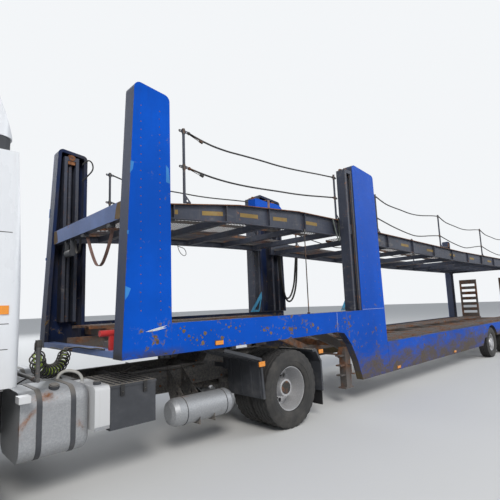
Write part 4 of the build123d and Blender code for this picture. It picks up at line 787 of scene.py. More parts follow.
# A slack strap on the outside of the front deck's edge beam, near its rear end
SIDE_STRAP_WIDTH = 0.032
SIDE_STRAP = ((2.18, 1.065, 3.025), (2.14, 1.067, 2.88), (2.07, 1.068, 2.68), (2.03, 1.068, 2.66),
              (2.01, 1.067, 2.82), (2.005, 1.065, 3.025))


def make_hose_loops():
    for name, finish, body, radius, route in HOSE_LOOPS:
        path = bent(route)
        hose = Shape()
        hose.tube(path, radius)
        hose.make(name, finish, body)


def make_straps():
    for name, finish, width, route in END_STRAPS:
        path = bent([(END_STRAP_X, y, z) for y, z in route], 8)
        strap = Shape()
        strap.strap(path, (width / 2, 0, 0), STRAP_THICK / 2)
        strap.make(name, finish, "front_deck")
    path = bent(SIDE_STRAP, 8)
    strap = Shape()
    strap.strap(path, (0, STRAP_THICK / 2, 0), SIDE_STRAP_WIDTH / 2)
    strap.make("side_strap", "grey_web", "front_deck")


# Tyres and wheels

TYRE_OUTER = 1.235
TYRE_WIDTH = 0.305
TYRE_RADIUS = 0.507
RIM_RADIUS = 0.286
TWIN_SPACING = 0.342
SMALL_OUTER = 1.250
SMALL_WIDTH = 0.245
SMALL_RADIUS = 0.394
SMALL_RIM = 0.222
TYRE_SEGMENTS = 96


def tyre_profile(width, radius, bore):
    """(along, radius) from the outer bead over the tread to the inner one."""
    w, wall = width / 2, radius - bore
    groove = radius - 0.013
    half = [
        (0.70 * w, bore + 0.002), (0.84 * w, bore + 0.004), (0.92 * w, bore + 0.018),
        (0.955 * w, bore + 0.30 * wall), (0.985 * w, bore + 0.32 * wall), (w, bore + 0.55 * wall),
        (0.992 * w, bore + 0.62 * wall), (0.985 * w, bore + 0.63 * wall), (0.965 * w, radius - 0.050),
        (0.94 * w, radius - 0.026), (0.90 * w, radius - 0.008), (0.86 * w, radius), (0.64 * w, radius),
        (0.62 * w, groove), (0.55 * w, groove), (0.53 * w, radius), (0.24 * w, radius), (0.22 * w, groove),
        (0.15 * w, groove), (0.13 * w, radius),
    ]
    return half + [(-a, r) for a, r in reversed(half)]


SHOULDER = (9, 10, 11, 12)     # points of the profile that the shoulder's cuts take in
RIB = (15, 16)
BIG_TYRE = (TYRE_WIDTH, TYRE_RADIUS, RIM_RADIUS)
SMALL_TYRE = (SMALL_WIDTH, SMALL_RADIUS, SMALL_RIM)


def make_tyre(shape, x, side, outer, size):
    """One tyre by the y of its outer face, and its width, radius and bore."""
    profile = tyre_profile(*size)
    last = len(profile) - 1

    def notch(i, k):
        """Cuts across the shoulders and ribs."""
        edge = min(i, last - i)
        if k % 3 == 1 and edge in SHOULDER:
            return 0.010
        if k % 3 == 2 and edge in RIB:
            return 0.006
        return 0

    width, radius, bore = size
    shape.lathe((x, side * (outer - width / 2), radius), (0, 1, 0), profile, TYRE_SEGMENTS, notch)


def make_tyres():
    for side, hand in SIDES:
        tyre = Shape()
        make_tyre(tyre, FRONT_AXLE_X, side, TYRE_OUTER, BIG_TYRE)
        tyre.make(f"front_tyre_{hand}", "tyre_rubber", f"{hand}_steer_wheel", (f"steer_tyre_{hand}",))
        tyre = Shape()
        for outer in (TYRE_OUTER, TYRE_OUTER - TWIN_SPACING):
            make_tyre(tyre, DRIVE_AXLE_X, side, outer, BIG_TYRE)
        tyre.make(f"twin_tyres_{hand}", "tyre_rubber", f"{hand}_drive_wheel", (f"drive_tyres_{hand}",))
        for k, x in enumerate(TRAILER_AXLES_X, start=1):
            body, node = f"{hand}_trailer_wheel_{k}", f"trailer_wheel_{k}_{hand}"
            tyre = Shape()
            make_tyre(tyre, x, side, SMALL_OUTER, SMALL_TYRE)
            tyre.make(f"small_tyre_{k}_{hand}", "tyre_rubber", body, (node,))
            small_rim(x, side).make(f"small_rim_{k}_{hand}", "wheel_metal", body, (node,))
            nuts = Shape()
            ring_of_nuts(nuts, x, side, SMALL_OUTER - 0.076, SMALL_RADIUS, 0.128, 0.011)
            nuts.make(f"small_nuts_{k}_{hand}", "dark_steel", body)


def around(x, z, radius, angles):
    """Points (x, z) on a circle."""
    return [(x + radius * math.cos(a), z + radius * math.sin(a)) for a in angles]


def small_rim(x, side):
    """A rim ring, a disc with hand holes, and the hub, from profiles of (along the axle, radius)."""
    rim = Shape()
    inner, outer = SMALL_OUTER - SMALL_WIDTH + 0.030, SMALL_OUTER - 0.030
    disc, wall = SMALL_OUTER - 0.090, SMALL_RIM - 0.012
    face, hub_end = disc + 0.014, SMALL_OUTER - 0.020
    hole = (0.153, 0.197)
    ring = [(inner, wall), (inner, SMALL_RIM), (outer, SMALL_RIM), (outer, wall),
            (outer - 0.02, wall - 0.006), (outer - 0.05, wall)]
    edge = [(disc, hole[1]), (disc, wall + 0.002), (face, wall + 0.002), (face, hole[1])]
    hub = [(disc - 0.09, 0.046), (disc - 0.09, 0.120), (disc, 0.140), (disc, hole[0]), (face, hole[0]),
           (face, 0.112), (hub_end - 0.01, 0.108), (hub_end, 0.100), (hub_end, 0.001),
           (hub_end - 0.03, 0.001), (hub_end - 0.03, 0.046)]
    for profile in (ring, edge, hub):
        rim.lathe((x, 0, SMALL_RADIUS), (0, side, 0), profile, 64)
    for angle in all_round(8):
        arc = [angle + math.pi / 8 + math.radians(14) * t for t in (-1, -0.33, 0.33, 1)]
        spoke = around(x, SMALL_RADIUS, hole[0] - 0.002, arc)
        spoke += around(x, SMALL_RADIUS, hole[1] + 0.002, arc[::-1])
        rim.side(spoke, both(side, disc, face))
    return rim


def ring_of_nuts(shape, x, side, y, z, radius, size):
    """Ten nuts on their studs."""
    for a, b in around(x, z, radius, [angle + math.pi / 10 for angle in all_round(10)]):
        shape.rod((a, side * y, b), (a, side * (y + 1.3 * size), b), size, 6)
        shape.rod((a, side * y, b), (a, side * (y + 2.1 * size), b), size * 0.45, 8)


# Name, axle, the disc's outer face and the hub's end, away from the middle
BIG_WHEELS = (("steer", FRONT_AXLE_X, 1.174, 1.225), ("drive", DRIVE_AXLE_X, 0.9255, 1.1115))


def make_hubs():
    """Wheel nuts, the hub's cap with its screws, and the air valve."""
    z = TYRE_RADIUS
    for side, hand in SIDES:
        for name, x, disc, hub in BIG_WHEELS:
            nuts = Shape()
            ring_of_nuts(nuts, x, side, disc, z, 0.158, 0.014)
            nuts.rod((x, side * hub, z), (x, side * (hub + 0.007), z), 0.085, 32)
            for a, b in around(x, z, 0.070, all_round(8)):
                nuts.rod((a, side * hub, b), (a, side * (hub + 0.009), b), 0.007, 6)
            nuts.rod((x, side * hub, z), (x, side * (hub + 0.0095), z), 0.030, 20)
            foot, tip = ((x + 0.232, disc - 0.005), (x + 0.215, disc + 0.028))
            nuts.rod((foot[0], side * foot[1], z + 0.05), (tip[0], side * tip[1], z + 0.05), 0.005, 8)
            nuts.make(f"{name}_nuts_{hand}", "dark_steel", f"{hand}_{name}_wheel")


# Wheel tracks of perforated sheet

TRACK_Y = (0.380, 0.980)
TRACK_DEPTH = 0.040
TRACK_SHEET = 0.008
TRACK_CELL = 0.060
TRACK_HOLE = 0.046
TRACK_FACE = 0.003
CROSS_HEIGHT = 0.090
LOWER_TRACK = ((5.705, 1.440), (2.300, 1.440), (0.980, 0.900), (-8.925, 0.900))
LASHING_HOLE = (-8.300, 0.460, 0.020)      # x, y and radius
SOLID_FROM = -8.040                         # the rear deck's tracks have no holes behind this


def perforated(shape, line, x_range, y_range, cell=TRACK_CELL, hole=TRACK_HOLE):
    """A sheet of square cells, each with a square hole, under a line of (x, z)."""
    columns = max(1, round((x_range[1] - x_range[0]) / cell))
    rows = max(1, round((y_range[1] - y_range[0]) / cell))
    dx, dy = (x_range[1] - x_range[0]) / columns, (y_range[1] - y_range[0]) / rows
    inset_x, inset_y = (dx - hole) / 2, (dy - hole) / 2
    faces = []
    for a in range(4):
        b = (a + 1) % 4
        faces += [(a, b, 4 + b, 4 + a), (8 + b, 8 + a, 12 + a, 12 + b), (4 + a, 4 + b, 12 + b, 12 + a)]
    for i in range(columns):
        x0, x1 = x_range[0] + i * dx, x_range[0] + (i + 1) * dx
        for j in range(rows):
            y0, y1 = y_range[0] + j * dy, y_range[0] + (j + 1) * dy
            rims = [(x0, y0), (x1, y0), (x1, y1), (x0, y1), (x0 + inset_x, y0 + inset_y),
                    (x1 - inset_x, y0 + inset_y), (x1 - inset_x, y1 - inset_y), (x0 + inset_x, y1 - inset_y)]
            shape.add([(x, y, line_at(line, x) - drop) for drop in (0, TRACK_FACE) for x, y in rims], faces)


def solid_end(shape, line):
    """The closed stretch at the rear, round its lashing hole."""
    x, y, hole = LASHING_HOLE
    low, high = TRACK_Y
    for x0, x1, y0, y1 in ((line[-1][0], x - hole, low, high), (x + hole, SOLID_FROM, low, high),
                           (x - hole, x + hole, low, y - hole), (x - hole, x + hole, y + hole, high)):
        z0, z1 = line_at(line, x0), line_at(line, x1)
        shape.side([(x0, z0), (x1, z1), (x1, z1 - TRACK_DEPTH), (x0, z0 - TRACK_DEPTH)], (y0, y1))
    outer = hole * 1.42       # past the corners of the square round it
    lining = ((0.0002, hole), (0.0002, outer), (TRACK_DEPTH, outer), (TRACK_DEPTH, hole))
    shape.lathe((x, y, line_at(line, x)), (0, 0, -1), lining, 24)


def deck_track_line(deck):
    line = [(x, b + CROSS_HEIGHT + TRACK_DEPTH) for x, t, b in deck]
    start = line[0][0] - 0.080 - SEAT
    return [(start, line_at(line, start)), *line[1:]]


def make_tracks():
    rows = (("front_deck", "front_deck_tracks", deck_track_line(FRONT_DECK), False, "mesh_steel"),
            ("rear_deck", "rear_deck_tracks", deck_track_line(REAR_DECK), True, "mesh_steel"),
            ("trailer", "lower_tracks", LOWER_TRACK, False, "worn_steel"))
    for body, node, line, closed, finish in rows:
        track = Shape()
        low = SOLID_FROM if closed else line[-1][0]
        perforated(track, line, (low, line[0][0]), (TRACK_Y[0] + TRACK_SHEET, TRACK_Y[1] - TRACK_SHEET))
        lower = [(x, z - TRACK_DEPTH) for x, z in reversed(line)]
        for y in (TRACK_Y[0], TRACK_Y[1] - TRACK_SHEET):
            track.side([*line, *lower], (y, y + TRACK_SHEET))
        if closed:
            solid_end(track, line)
        track.mirror().make("sheet_" + node, finish, body, (node,))


MIDDLE_MESH = (3.300, 5.860)     # the closed front part of the front deck's middle
FINE_CELL = 0.045
FINE_HOLE = 0.034


def make_middle_mesh():
    """Fine mesh between the front deck's tracks."""
    mesh = Shape()
    line = deck_track_line(FRONT_DECK)
    reach = TRACK_Y[0] - SEAT
    perforated(mesh, line, MIDDLE_MESH, (-reach, reach), FINE_CELL, FINE_HOLE)
    mesh.make("middle_mesh", "mesh_steel", "front_deck")


# Marks on the trailer's sides

RUST_SPOTS = (
    (5.342, 1.388), (5.279, 1.331), (5.176, 1.280), (5.096, 1.241), (5.066, 1.347), (4.825, 1.273),
    (4.716, 1.390), (4.607, 1.372), (4.139, 1.316), (4.015, 1.270), (3.763, 1.317), (3.604, 1.280),
    (3.519, 1.301), (3.285, 1.258), (3.144, 1.319), (3.033, 1.269), (2.586, 1.270), (2.339, 1.316),
)
# X, foot and head of the columns of weld dots on the posts, and the step between dots
WELD_COLUMNS = ((5.843, 1.62, 3.88, 0.09), (5.620, 1.62, 3.88, 0.09), (1.200, 1.62, 3.80, 0.11),
                (1.660, 1.62, 3.85, 0.11), (-8.560, 1.05, 3.68, 0.11))
CYAN_PATCHES = (
    ((5.966, 3.007), (5.960, 3.146), (5.922, 3.140), (5.934, 3.060)),
    ((5.545, 2.990), (5.545, 3.185), (5.510, 3.150), (5.497, 2.979)),
    ((5.995, 2.379), (5.995, 2.418), (5.974, 2.418), (5.978, 2.379)),
    ((6.013, 1.728), (6.010, 1.864), (5.951, 1.840), (5.980, 1.770)),
)
# Seams where the neck's side meets the next plate and the middle post's foot
WELD_SEAMS = (
    ((2.538, 1.190), (2.543, 1.190), (2.543, 1.478), (2.538, 1.478)),
    ((1.100, 1.492), (1.800, 1.492), (1.800, 1.496), (1.100, 1.496)),
)
SCRATCH = ((5.795, 1.410), (5.720, 1.430), (5.650, 1.444), (5.545, 1.462), (5.600, 1.440), (5.552, 1.436),
           (5.650, 1.417), (5.700, 1.411))
FILM = 0.0008                 # how far a mark stands off the steel
# Name, finish, outlines and thickness of the marks that have drawn outlines
MARKS = (("weld_seams", "scraped", WELD_SEAMS, FILM / 2), ("pale_patches", "cyan_paint", CYAN_PATCHES, FILM),
         ("scrape", "scraped", (SCRATCH,), FILM))


def patch(shape, outline, thick=FILM, y=HALF_WIDTH):
    """A thin mark on a side face."""
    shape.side(outline, (y, y + thick))


def blob(x, z, radius, seed):
    """A round mark's uneven outline."""
    shaky = random.Random(seed)
    spokes = [radius * shaky.uniform(0.7, 1.2) for _ in range(12)]
    return [(x + r * math.cos(a), z + r * math.sin(a)) for a, r in zip(all_round(12), spokes)]


def make_marks():
    """Rust spots, weld dots, chipped patches and a scrape."""
    scabs = Shape()
    scatter = random.Random(5)
    for k, (x, z) in enumerate(RUST_SPOTS):
        patch(scabs, blob(x, z, scatter.uniform(0.014, 0.027), k))
        for j in range(4):
            near = (x + scatter.uniform(-0.09, 0.09), z + scatter.uniform(-0.05, 0.05))
            patch(scabs, blob(*near, scatter.uniform(0.004, 0.012), 20 * k + j), FILM / 2)
    scabs.mirror().make("rust_scabs", "old_rust", "trailer")
    dots = Shape()
    for x, low, high, step in WELD_COLUMNS:
        for k in range(int((high - low) / step)):
            patch(dots, blob(x + 0.002 * (k % 3), low + step * k, 0.0065, k + 40))
    dots.mirror().make("weld_dots", "rust", "trailer")
    for name, finish, outlines, thick in MARKS:
        marks = Shape()
        for outline in outlines:
            patch(marks, outline, thick)
        marks.mirror().make(name, finish, "trailer")


# Tapes on the edge beams, as the x where each begins and ends
FRONT_TAPES = ((5.310, 5.228), (4.878, 4.544), (4.246, 3.909), (3.602, 3.299), (2.870, 2.564))
REAR_TAPES = [(x, x - 0.340) for x in (0.900, -0.300, -1.550, -2.900, -4.300, -5.800, -7.300)]


def strip(shape, start, end, low, high, thick, y):
    """A thin strip on a side face between two heights over a line's start and end."""
    (x0, z0), (x1, z1) = start, end
    patch(shape, [(x0, z0 + low), (x1, z1 + low), (x1, z1 + high), (x0, z0 + high)], thick, y)


def make_tapes():
    """Tapes on the edge beams' webs and rust along their flanges."""
    for body, deck, spans in (("front_deck", FRONT_DECK, FRONT_TAPES), ("rear_deck", REAR_DECK, REAR_TAPES)):
        middle = [(x, (t + b) / 2) for x, t, b in deck]
        tape, flange = Shape(), Shape()
        for ends in spans:
            strip(tape, *[(x, line_at(middle, x)) for x in ends], -0.028, 0.028, 0.0015, WEB_Y)
        top = deck_top(deck)
        for start, end in zip(top, top[1:]):
            strip(flange, start, end, -0.011, -0.001, FILM, DECK_OUTER)
        tape.mirror().make(body + "_tapes", "yellow_tape", body)
        flange.mirror().make(body + "_rusty_edges", "rust", body)


# Gear in the posts

SHEAVES = ((5.720, 3.958), (1.930, 3.898), (1.350, 3.898), (-8.560, 3.728))
CHEEK_SHEET = 0.008
# Outlines and a profile about a sheave's centre
CHEEK = ((-0.035, -0.05), (0.035, -0.05), (0.045, 0.022), (0, 0.030), (-0.045, 0.022))
HEAD_BLOCK = ((-0.050, -0.13), (0.050, -0.13), (0.055, -0.01), (0.035, 0.035), (-0.035, 0.035),
              (-0.055, -0.01))
HEAD_WHEEL = ((0, 0.012), (0, 0.045), (0.004, 0.048), (0.014, 0.048), (0.014, 0.012))
THREAD_PITCH = 0.05
SCREW_RADIUS = 0.0318
ROPE_Y = HALF_WIDTH - 0.026   # lifting ropes, against the post's sheet
STAY = (3.130, 1.200)         # x and y of the stay pole


def moved(outline, x, z):
    return [(x + a, z + b) for a, b in outline]


def make_post_works():
    """Cheeks round the rope sheaves, head blocks, lifting ropes behind the screws, and a stay pole."""
    cheeks, blocks, ropes, threads = Shape(), Shape(), Shape(), Shape()
    for x, z in SHEAVES:
        for y in (SCREW_Y - 0.036, SCREW_Y + 0.028):
            cheeks.side(moved(CHEEK, x, z), (y, y + CHEEK_SHEET))
        cheeks.rod((x, SCREW_Y - 0.046, z), (x, SCREW_Y + 0.046, z), 0.010, 6)
        blocks.side(moved(HEAD_BLOCK, x, z), (1.098, 1.130))
        blocks.lathe((x, 1.086, z - 0.03), (0, 1, 0), HEAD_WHEEL, 24)
        rope_foot, screw_foot = (1.00, 0.95) if x < 0 else (1.50, 1.52)
        for a in (x + 0.044, x - 0.044):
            ropes.rod((a, ROPE_Y, rope_foot), (a, ROPE_Y, z - 0.09), 0.006, 8)
        for k in range(int((z - 0.12 - screw_foot) / THREAD_PITCH)):
            threads.hoop((x, SCREW_Y, screw_foot + THREAD_PITCH * k), (0, 0, 1), SCREW_RADIUS, 0.0026, 16, 4)
    cheeks.mirror().make("sheave_cheeks", "rust", "trailer")
    blocks.mirror().make("head_blocks", "rust", "trailer")
    ropes.mirror().make("lifting_ropes", "dark_steel", "trailer")
    threads.mirror().make("screw_threads", "dark_steel", "trailer")
    pole = Shape()
    for top, radius in ((2.716, 0.008), (1.500, 0.022)):
        pole.rod((*STAY, 1.480), (*STAY, top), radius, 12)
    pole.box(grown((STAY[0], STAY[0]), 0.015), grown((STAY[1], STAY[1]), 0.010), (2.690, 2.730))
    pole.make("stay_pole", "dark_steel", "trailer")


# Gear on the decks

def make_rail_gear(body, deck, rails):
    """Caps of the rail posts, rings through their eyes and foot bolts."""
    gear = Shape()
    for x, height, *eyes in rails:
        z = line_at(deck_top(deck), x)
        gear.rod((x, RAIL_Y, z + height - 0.001), (x, RAIL_Y, z + height + 0.003), 0.019, 16)
        for eye in eyes:
            for way in (0.052, -0.052):
                gear.hoop((x + way, RAIL_Y, z + eye), (0.2, 1, 0), 0.014, 0.004, 16, 6)
            gear.rod((x, RAIL_Y, z + eye - 0.034), (x, RAIL_Y, z + eye + 0.034), 0.0195, 16)
        for dx in (-0.075, -0.035):
            gear.rod((x + dx, RAIL_Y + 0.012, z + 0.004), (x + dx, RAIL_Y + 0.012, z + 0.016), 0.008, 6)
    gear.mirror().make(body + "_rail_gear", "dark_steel", body)


def make_turnbuckles():
    """Open turnbuckles at the front end of the near ropes."""
    gear = Shape()
    x, height, *eyes = FRONT_RAILS[0]
    a, b = x - 0.080, x - 0.245
    for eye, fall in zip(eyes, (0.33, 0.27)):
        z = line_at(deck_top(FRONT_DECK), x) + eye
        low = z - fall * (a - b)
        for y in (RAIL_Y - 0.015, RAIL_Y + 0.015):
            gear.rod((a, y, z - 0.006), (b, y, low - 0.006), 0.004, 8)
        gear.rod((a + 0.012, RAIL_Y, z - 0.002), (a - 0.006, RAIL_Y, z - 0.008), 0.020, 12)
        gear.rod((b + 0.006, RAIL_Y, low - 0.004), (b - 0.040, RAIL_Y, low - 0.018), 0.018, 12)
    gear.make("turnbuckles", "dark_steel", "front_deck")


WIRE_HOOK = ((3.94, -0.990, 2.75), (3.93, -0.992, 2.68), (3.88, -0.992, 2.58), (3.80, -0.990, 2.53),
             (3.75, -0.990, 2.57), (3.78, -0.990, 2.66), (3.86, -0.990, 2.69), (3.93, -0.990, 2.70))
BARE_END = ((0.900, 2.60), (0.985, 2.586), (1.060, 2.59), (1.060, 2.765), (0.960, 2.768), (0.925, 2.70))


def make_end_beam_gear():
    """The roller and worn paint of the front deck's end beam, and a hook on the deck's far side."""
    roller = Shape()
    roller.rod((5.915, -0.62, 2.400), (5.915, -0.44, 2.400), 0.045, 24)
    for y in (-0.640, -0.440):
        roller.side([(5.885, 2.586), (5.945, 2.586), (5.940, 2.360), (5.890, 2.360)], (y, y + 0.010))
    for y in (-0.06, 0.68):
        roller.box((5.876, 5.946), (y, y + 0.08), (2.545, 2.586))
    roller.make("strap_roller", "dark_plastic", "front_deck")
    hook = Shape()
    hook.tube(bent(WIRE_HOOK), 0.006)
    hook.make("wire_hook", "dark_steel", "front_deck")
    cover = Shape()
    x, top, foot = FRONT_DECK[0]
    out, lid, back = x + 2 * FILM, top + 2 * FILM, x - 0.078
    section = ((back, top), (back, lid), (out, lid), (out, foot), (x, foot), (x, top))
    cover.side(section, (-DECK_OUTER, DECK_OUTER))
    cover.make("end_beam_paint", "faded_blue", "front_deck")
    bare = Shape()
    bare.prism(BARE_END, (out, out + 2 * FILM), on_end)
    bare.mirror().make("end_beam_bare_ends", "old_rust", "front_deck")


def make_chock_gear():
    """A strap and its buckle on the blue wedge."""
    top = deck_top(FRONT_DECK)
    rear, front = ((x, line_at(top, x)) for x in (3.700, 3.745))
    middle = line_at(top, 3.72)
    band = Shape()
    band.side([(rear[0], rear[1] + 0.106), (front[0], front[1] + 0.112), (front[0], front[1] + 0.120),
               (rear[0], rear[1] + 0.114)], (0.905, 1.055))
    band.box((rear[0], front[0]), (1.0525, 1.0555), (middle + 0.004, middle + 0.114))
    band.make("chock_strap", "strap_web", "front_deck")
    buckle = Shape()
    buckle.box((3.695, 3.750), (0.955, 1.000), (middle + 0.110, middle + 0.126))
    buckle.rod((3.722, 0.950, middle + 0.127), (3.722, 1.005, middle + 0.127), 0.006, 10)
    buckle.make("chock_buckle", "rust", "front_deck")


# Other fittings of the trailer

SIDE_LAMPS = ((4.870, 1.225), (0.740, 0.430), (-1.900, 0.430), (-7.400, 0.700))
TAIL_X = -8.980
TAIL_Z = 0.490
TAIL_LENS = ((0, 0.014), (0, 0.042), (0.004, 0.040), (0.007, 0.030), (0.007, 0.014))


def make_lamp_fittings():
    mounts, red = Shape(), Shape()
    for x, z in SIDE_LAMPS:
        mounts.box((x - 0.062, x + 0.062), (HALF_WIDTH, HALF_WIDTH + 0.004), (z - 0.029, z + 0.029))
    for y in (0.800, 0.930, 1.060):
        mounts.hoop((TAIL_X, y, TAIL_Z), (1, 0, 0), 0.045, 0.004)
        mounts.rod((TAIL_X + 0.001, y, TAIL_Z), (TAIL_X - 0.004, y, TAIL_Z), 0.012, 12)
    for y in (0.930, 1.060):
        red.lathe((TAIL_X, y, TAIL_Z), (-1, 0, 0), TAIL_LENS)
    mounts.mirror().make("lamp_mounts", "dark_plastic", "trailer")
    red.mirror().make("tail_lamps", "red_lens", "trailer")


LEG_X = 2.150


def make_leg_gear():
    """Cross shaft, gearboxes and crank of the landing legs."""
    gear = Shape()
    gear.box((LEG_X - 0.04, LEG_X + 0.04), (0.985, 1.034), (0.73, 0.83))
    gear.mirror()
    gear.rod((LEG_X, -1.034, 0.780), (LEG_X, 1.034, 0.780), 0.014, 12)
    gear.rod((LEG_X, 1.150, 0.640), (LEG_X, 1.215, 0.640), 0.010, 10)
    gear.tube([(LEG_X, 1.208, z) for z in (0.648, 0.560, 0.500)], 0.008)
    gear.rod((LEG_X, 1.204, 0.505), (LEG_X, 1.262, 0.505), 0.012, 12)
    gear.make("leg_crank", "worn_steel", "trailer")


AIR_TANKS_X = (-5.25, -6.65)
AIR_TANK_Z = 0.570
AIR_TANK_RADIUS = 0.125
AIR_TANK_HALF = 0.30          # half of its straight length


def make_air_gear():
    """Pipes along the frame, air tanks under the load floor and brake chambers at the axles."""
    gear = Shape()
    for y, z in ((0.622, 0.700), (0.645, 0.715)):
        gear.rod((0.95, y, z), (-8.70, y, z), 0.008, 8)
    for x in AIR_TANKS_X:
        ends = ((x, AIR_TANK_HALF, AIR_TANK_Z), (x, AIR_TANK_HALF + 0.045, AIR_TANK_Z))
        gear.rod(*ends, AIR_TANK_RADIUS, 24, 0.075)
        gear.hoop((x, 0.18, AIR_TANK_Z), (0, 1, 0), AIR_TANK_RADIUS + 0.002, 0.006, 24, 6)
        gear.box((x - 0.02, x + 0.02), (0.16, 0.20), (0.690, 0.742))
    for x in TRAILER_AXLES_X:
        gear.rod((x + 0.10, 0.44, 0.430), (x + 0.10, 0.30, 0.430), 0.070, 20)
        gear.rod((x + 0.10, 0.44, 0.430), (x + 0.10, 0.485, 0.430), 0.014, 10)
    gear.mirror()
    for x in AIR_TANKS_X:
        gear.rod((x, -AIR_TANK_HALF, AIR_TANK_Z), (x, AIR_TANK_HALF, AIR_TANK_Z), AIR_TANK_RADIUS, 24)
    gear.make("air_pipes_and_tanks", "chassis_paint", "trailer")


def make_ramp_treads():
    for side, hand in SIDES:
        tread = Shape()
        for k in range(7):
            for z in (0.949, 0.979, 1.009):
                tread.box((-8.956, -8.947), both(side, 0.40, 0.96), (z + 0.2 * k - 0.012, z + 0.2 * k))
        tread.make(f"ramp_treads_{hand}", "worn_steel", f"{hand}_ramp")


SILL_HOSES = (
    ((6.095, 0.02, 1.212), (6.070, 0.10, 1.228), (6.058, 0.28, 1.240), (6.054, 0.56, 1.232),
     (6.052, 0.745, 1.252), (6.030, 0.86, 1.240)),
    ((6.090, -0.06, 1.205), (6.064, -0.16, 1.190), (6.052, -0.34, 1.176), (6.052, -0.60, 1.186),
     (6.040, -0.80, 1.178)),
)
SILL_COVER = ((5.905, 1.230), (5.905, 1.2315), (6.0365, 1.2315), (6.0365, 1.168), (6.035, 1.168),
              (6.035, 1.230))


def make_sill_gear():
    """Hoses along the front sill, from the supply lines' socket, and the sill's worn paint."""
    hose = Shape()
    for route in SILL_HOSES:
        hose.tube(bent(route), 0.009)
    hose.make("sill_hoses", "black_rubber", "trailer")
    cover = Shape()
    cover.side(SILL_COVER, (-POST_INNER, POST_INNER))
    cover.make("sill_paint", "faded_blue", "trailer")


# Fittings of the tractor

FUEL_Y = (0.490, 1.120)
FUEL_Z = (0.400, 0.976)
FUEL_CORNER = 0.130
STRAP_PROUD = 0.004


def make_tank_fittings():
    """Straps and caps of the fuel tanks, the air tank's straps, the additive can and the cab's white step."""
    straps = Shape()
    outer = rounded(grown(FUEL_Y, STRAP_PROUD), grown(FUEL_Z, STRAP_PROUD), FUEL_CORNER + STRAP_PROUD)
    for x in (6.42, 6.70):
        straps.frame(outer, rounded(FUEL_Y, FUEL_Z, FUEL_CORNER), (x - 0.022, x + 0.022), on_end)
    straps.rod((6.56, 1.020, 0.955), (6.56, 1.032, 0.996), 0.045, 24)
    straps.rod((6.56, 1.030, 0.990), (6.56, 1.034, 1.003), 0.036, 24)
    straps.mirror()
    for x in (4.62, 5.18):
        straps.hoop((x, 0.950, 0.490), (1, 0, 0), 0.1505, 0.005, 40, 6)
    straps.make("tank_straps", "dark_plastic", "tractor")
    can = Shape()
    can.prism(rounded((0.598, 1.202), (0.558, 0.946), 0.045), (6.119, 6.262), on_end)
    can.make("additive_can", "white_paint", "tractor")
    cap = Shape()
    for low, high, radius in ((0.944, 0.972, 0.036), (0.970, 0.978, 0.030)):
        cap.rod((6.190, 1.07, low), (6.190, 1.07, high), radius, 24)
    cap.make("additive_cap", "dark_plastic", "tractor")
    step = Shape()
    step.box((6.800, 6.890), (1.130, 1.240), (0.915, 0.970))
    step.make("white_step", "white_paint", "tractor")


def make_running_gear():
    """Brake chambers and dampers at both axles, the drive shaft, and the radiator."""
    gear = Shape()
    gear.rod((3.46, 0.478, 0.60), (3.33, 0.478, 0.61), 0.072, 20)
    gear.rod((3.33, 0.478, 0.61), (3.22, 0.478, 0.62), 0.062, 20)
    gear.rod((3.95, 0.44, 0.47), (4.02, 0.44, 0.86), 0.026, 14)
    gear.rod((7.25, 0.46, 0.52), (7.20, 0.44, 0.86), 0.026, 14)
    gear.mirror()
    gear.rod((3.93, 0, 0.527), (6.90, 0, 0.600), 0.050, 20)
    for x, z in ((4.15, 0.532), (5.45, 0.564), (6.75, 0.596)):
        gear.rod((x - 0.05, 0, z), (x + 0.05, 0, z + 0.002), 0.068, 20)
    gear.box((8.22, 8.30), (-0.31, 0.31), (0.56, 1.03))
    gear.make("running_gear", "chassis_paint", "tractor")
    fins = Shape()
    for k in range(30):
        z = 0.575 + 0.015 * k
        fins.box((8.300, 8.304), (-0.30, 0.30), (z, z + 0.004))
    fins.make("radiator_fins", "tank_metal", "tractor")


FRAME_HOSES = (
    ((5.30, 0.40, 0.912), (5.38, 0.46, 0.955), (5.50, 0.48, 0.975), (5.62, 0.52, 0.955), (5.70, 0.54, 0.935)),
    ((4.45, 0.41, 0.87), (4.60, 0.43, 0.89), (4.90, 0.41, 0.86), (5.25, 0.43, 0.88), (5.60, 0.41, 0.86)),
    ((4.30, -0.41, 0.87), (4.70, -0.43, 0.89), (5.20, -0.41, 0.86), (5.90, -0.43, 0.88), (6.40, -0.41, 0.86)),
    ((5.20, 0.36, 0.915), (5.28, 0.22, 0.93), (5.30, 0.00, 0.94), (5.24, -0.22, 0.93), (5.20, -0.36, 0.915)),
    ((6.70, 0.30, 0.93), (6.60, 0.34, 1.00), (6.45, 0.42, 1.02), (6.33, 0.50, 0.99), (6.30, 0.47, 0.93)),
)
FRAME_BOLTS_X = (2.75, 3.05, 3.35, 3.85, 4.15, 4.62, 4.92, 5.12, 5.42, 5.75, 6.05, 6.40, 6.72)
COUPLINGS = (((6.722, 1.098, 1.327), (6.735, 1.150, 1.378), 0.030, 20),
             ((6.738, 1.167, 1.355), (6.738, 1.167, 1.408), 0.026, 20),
             ((6.738, 1.060, 1.075), (6.738, 1.110, 1.075), 0.024, 16),
             ((6.738, 0.360, 1.040), (6.738, 0.360, 1.100), 0.024, 16))


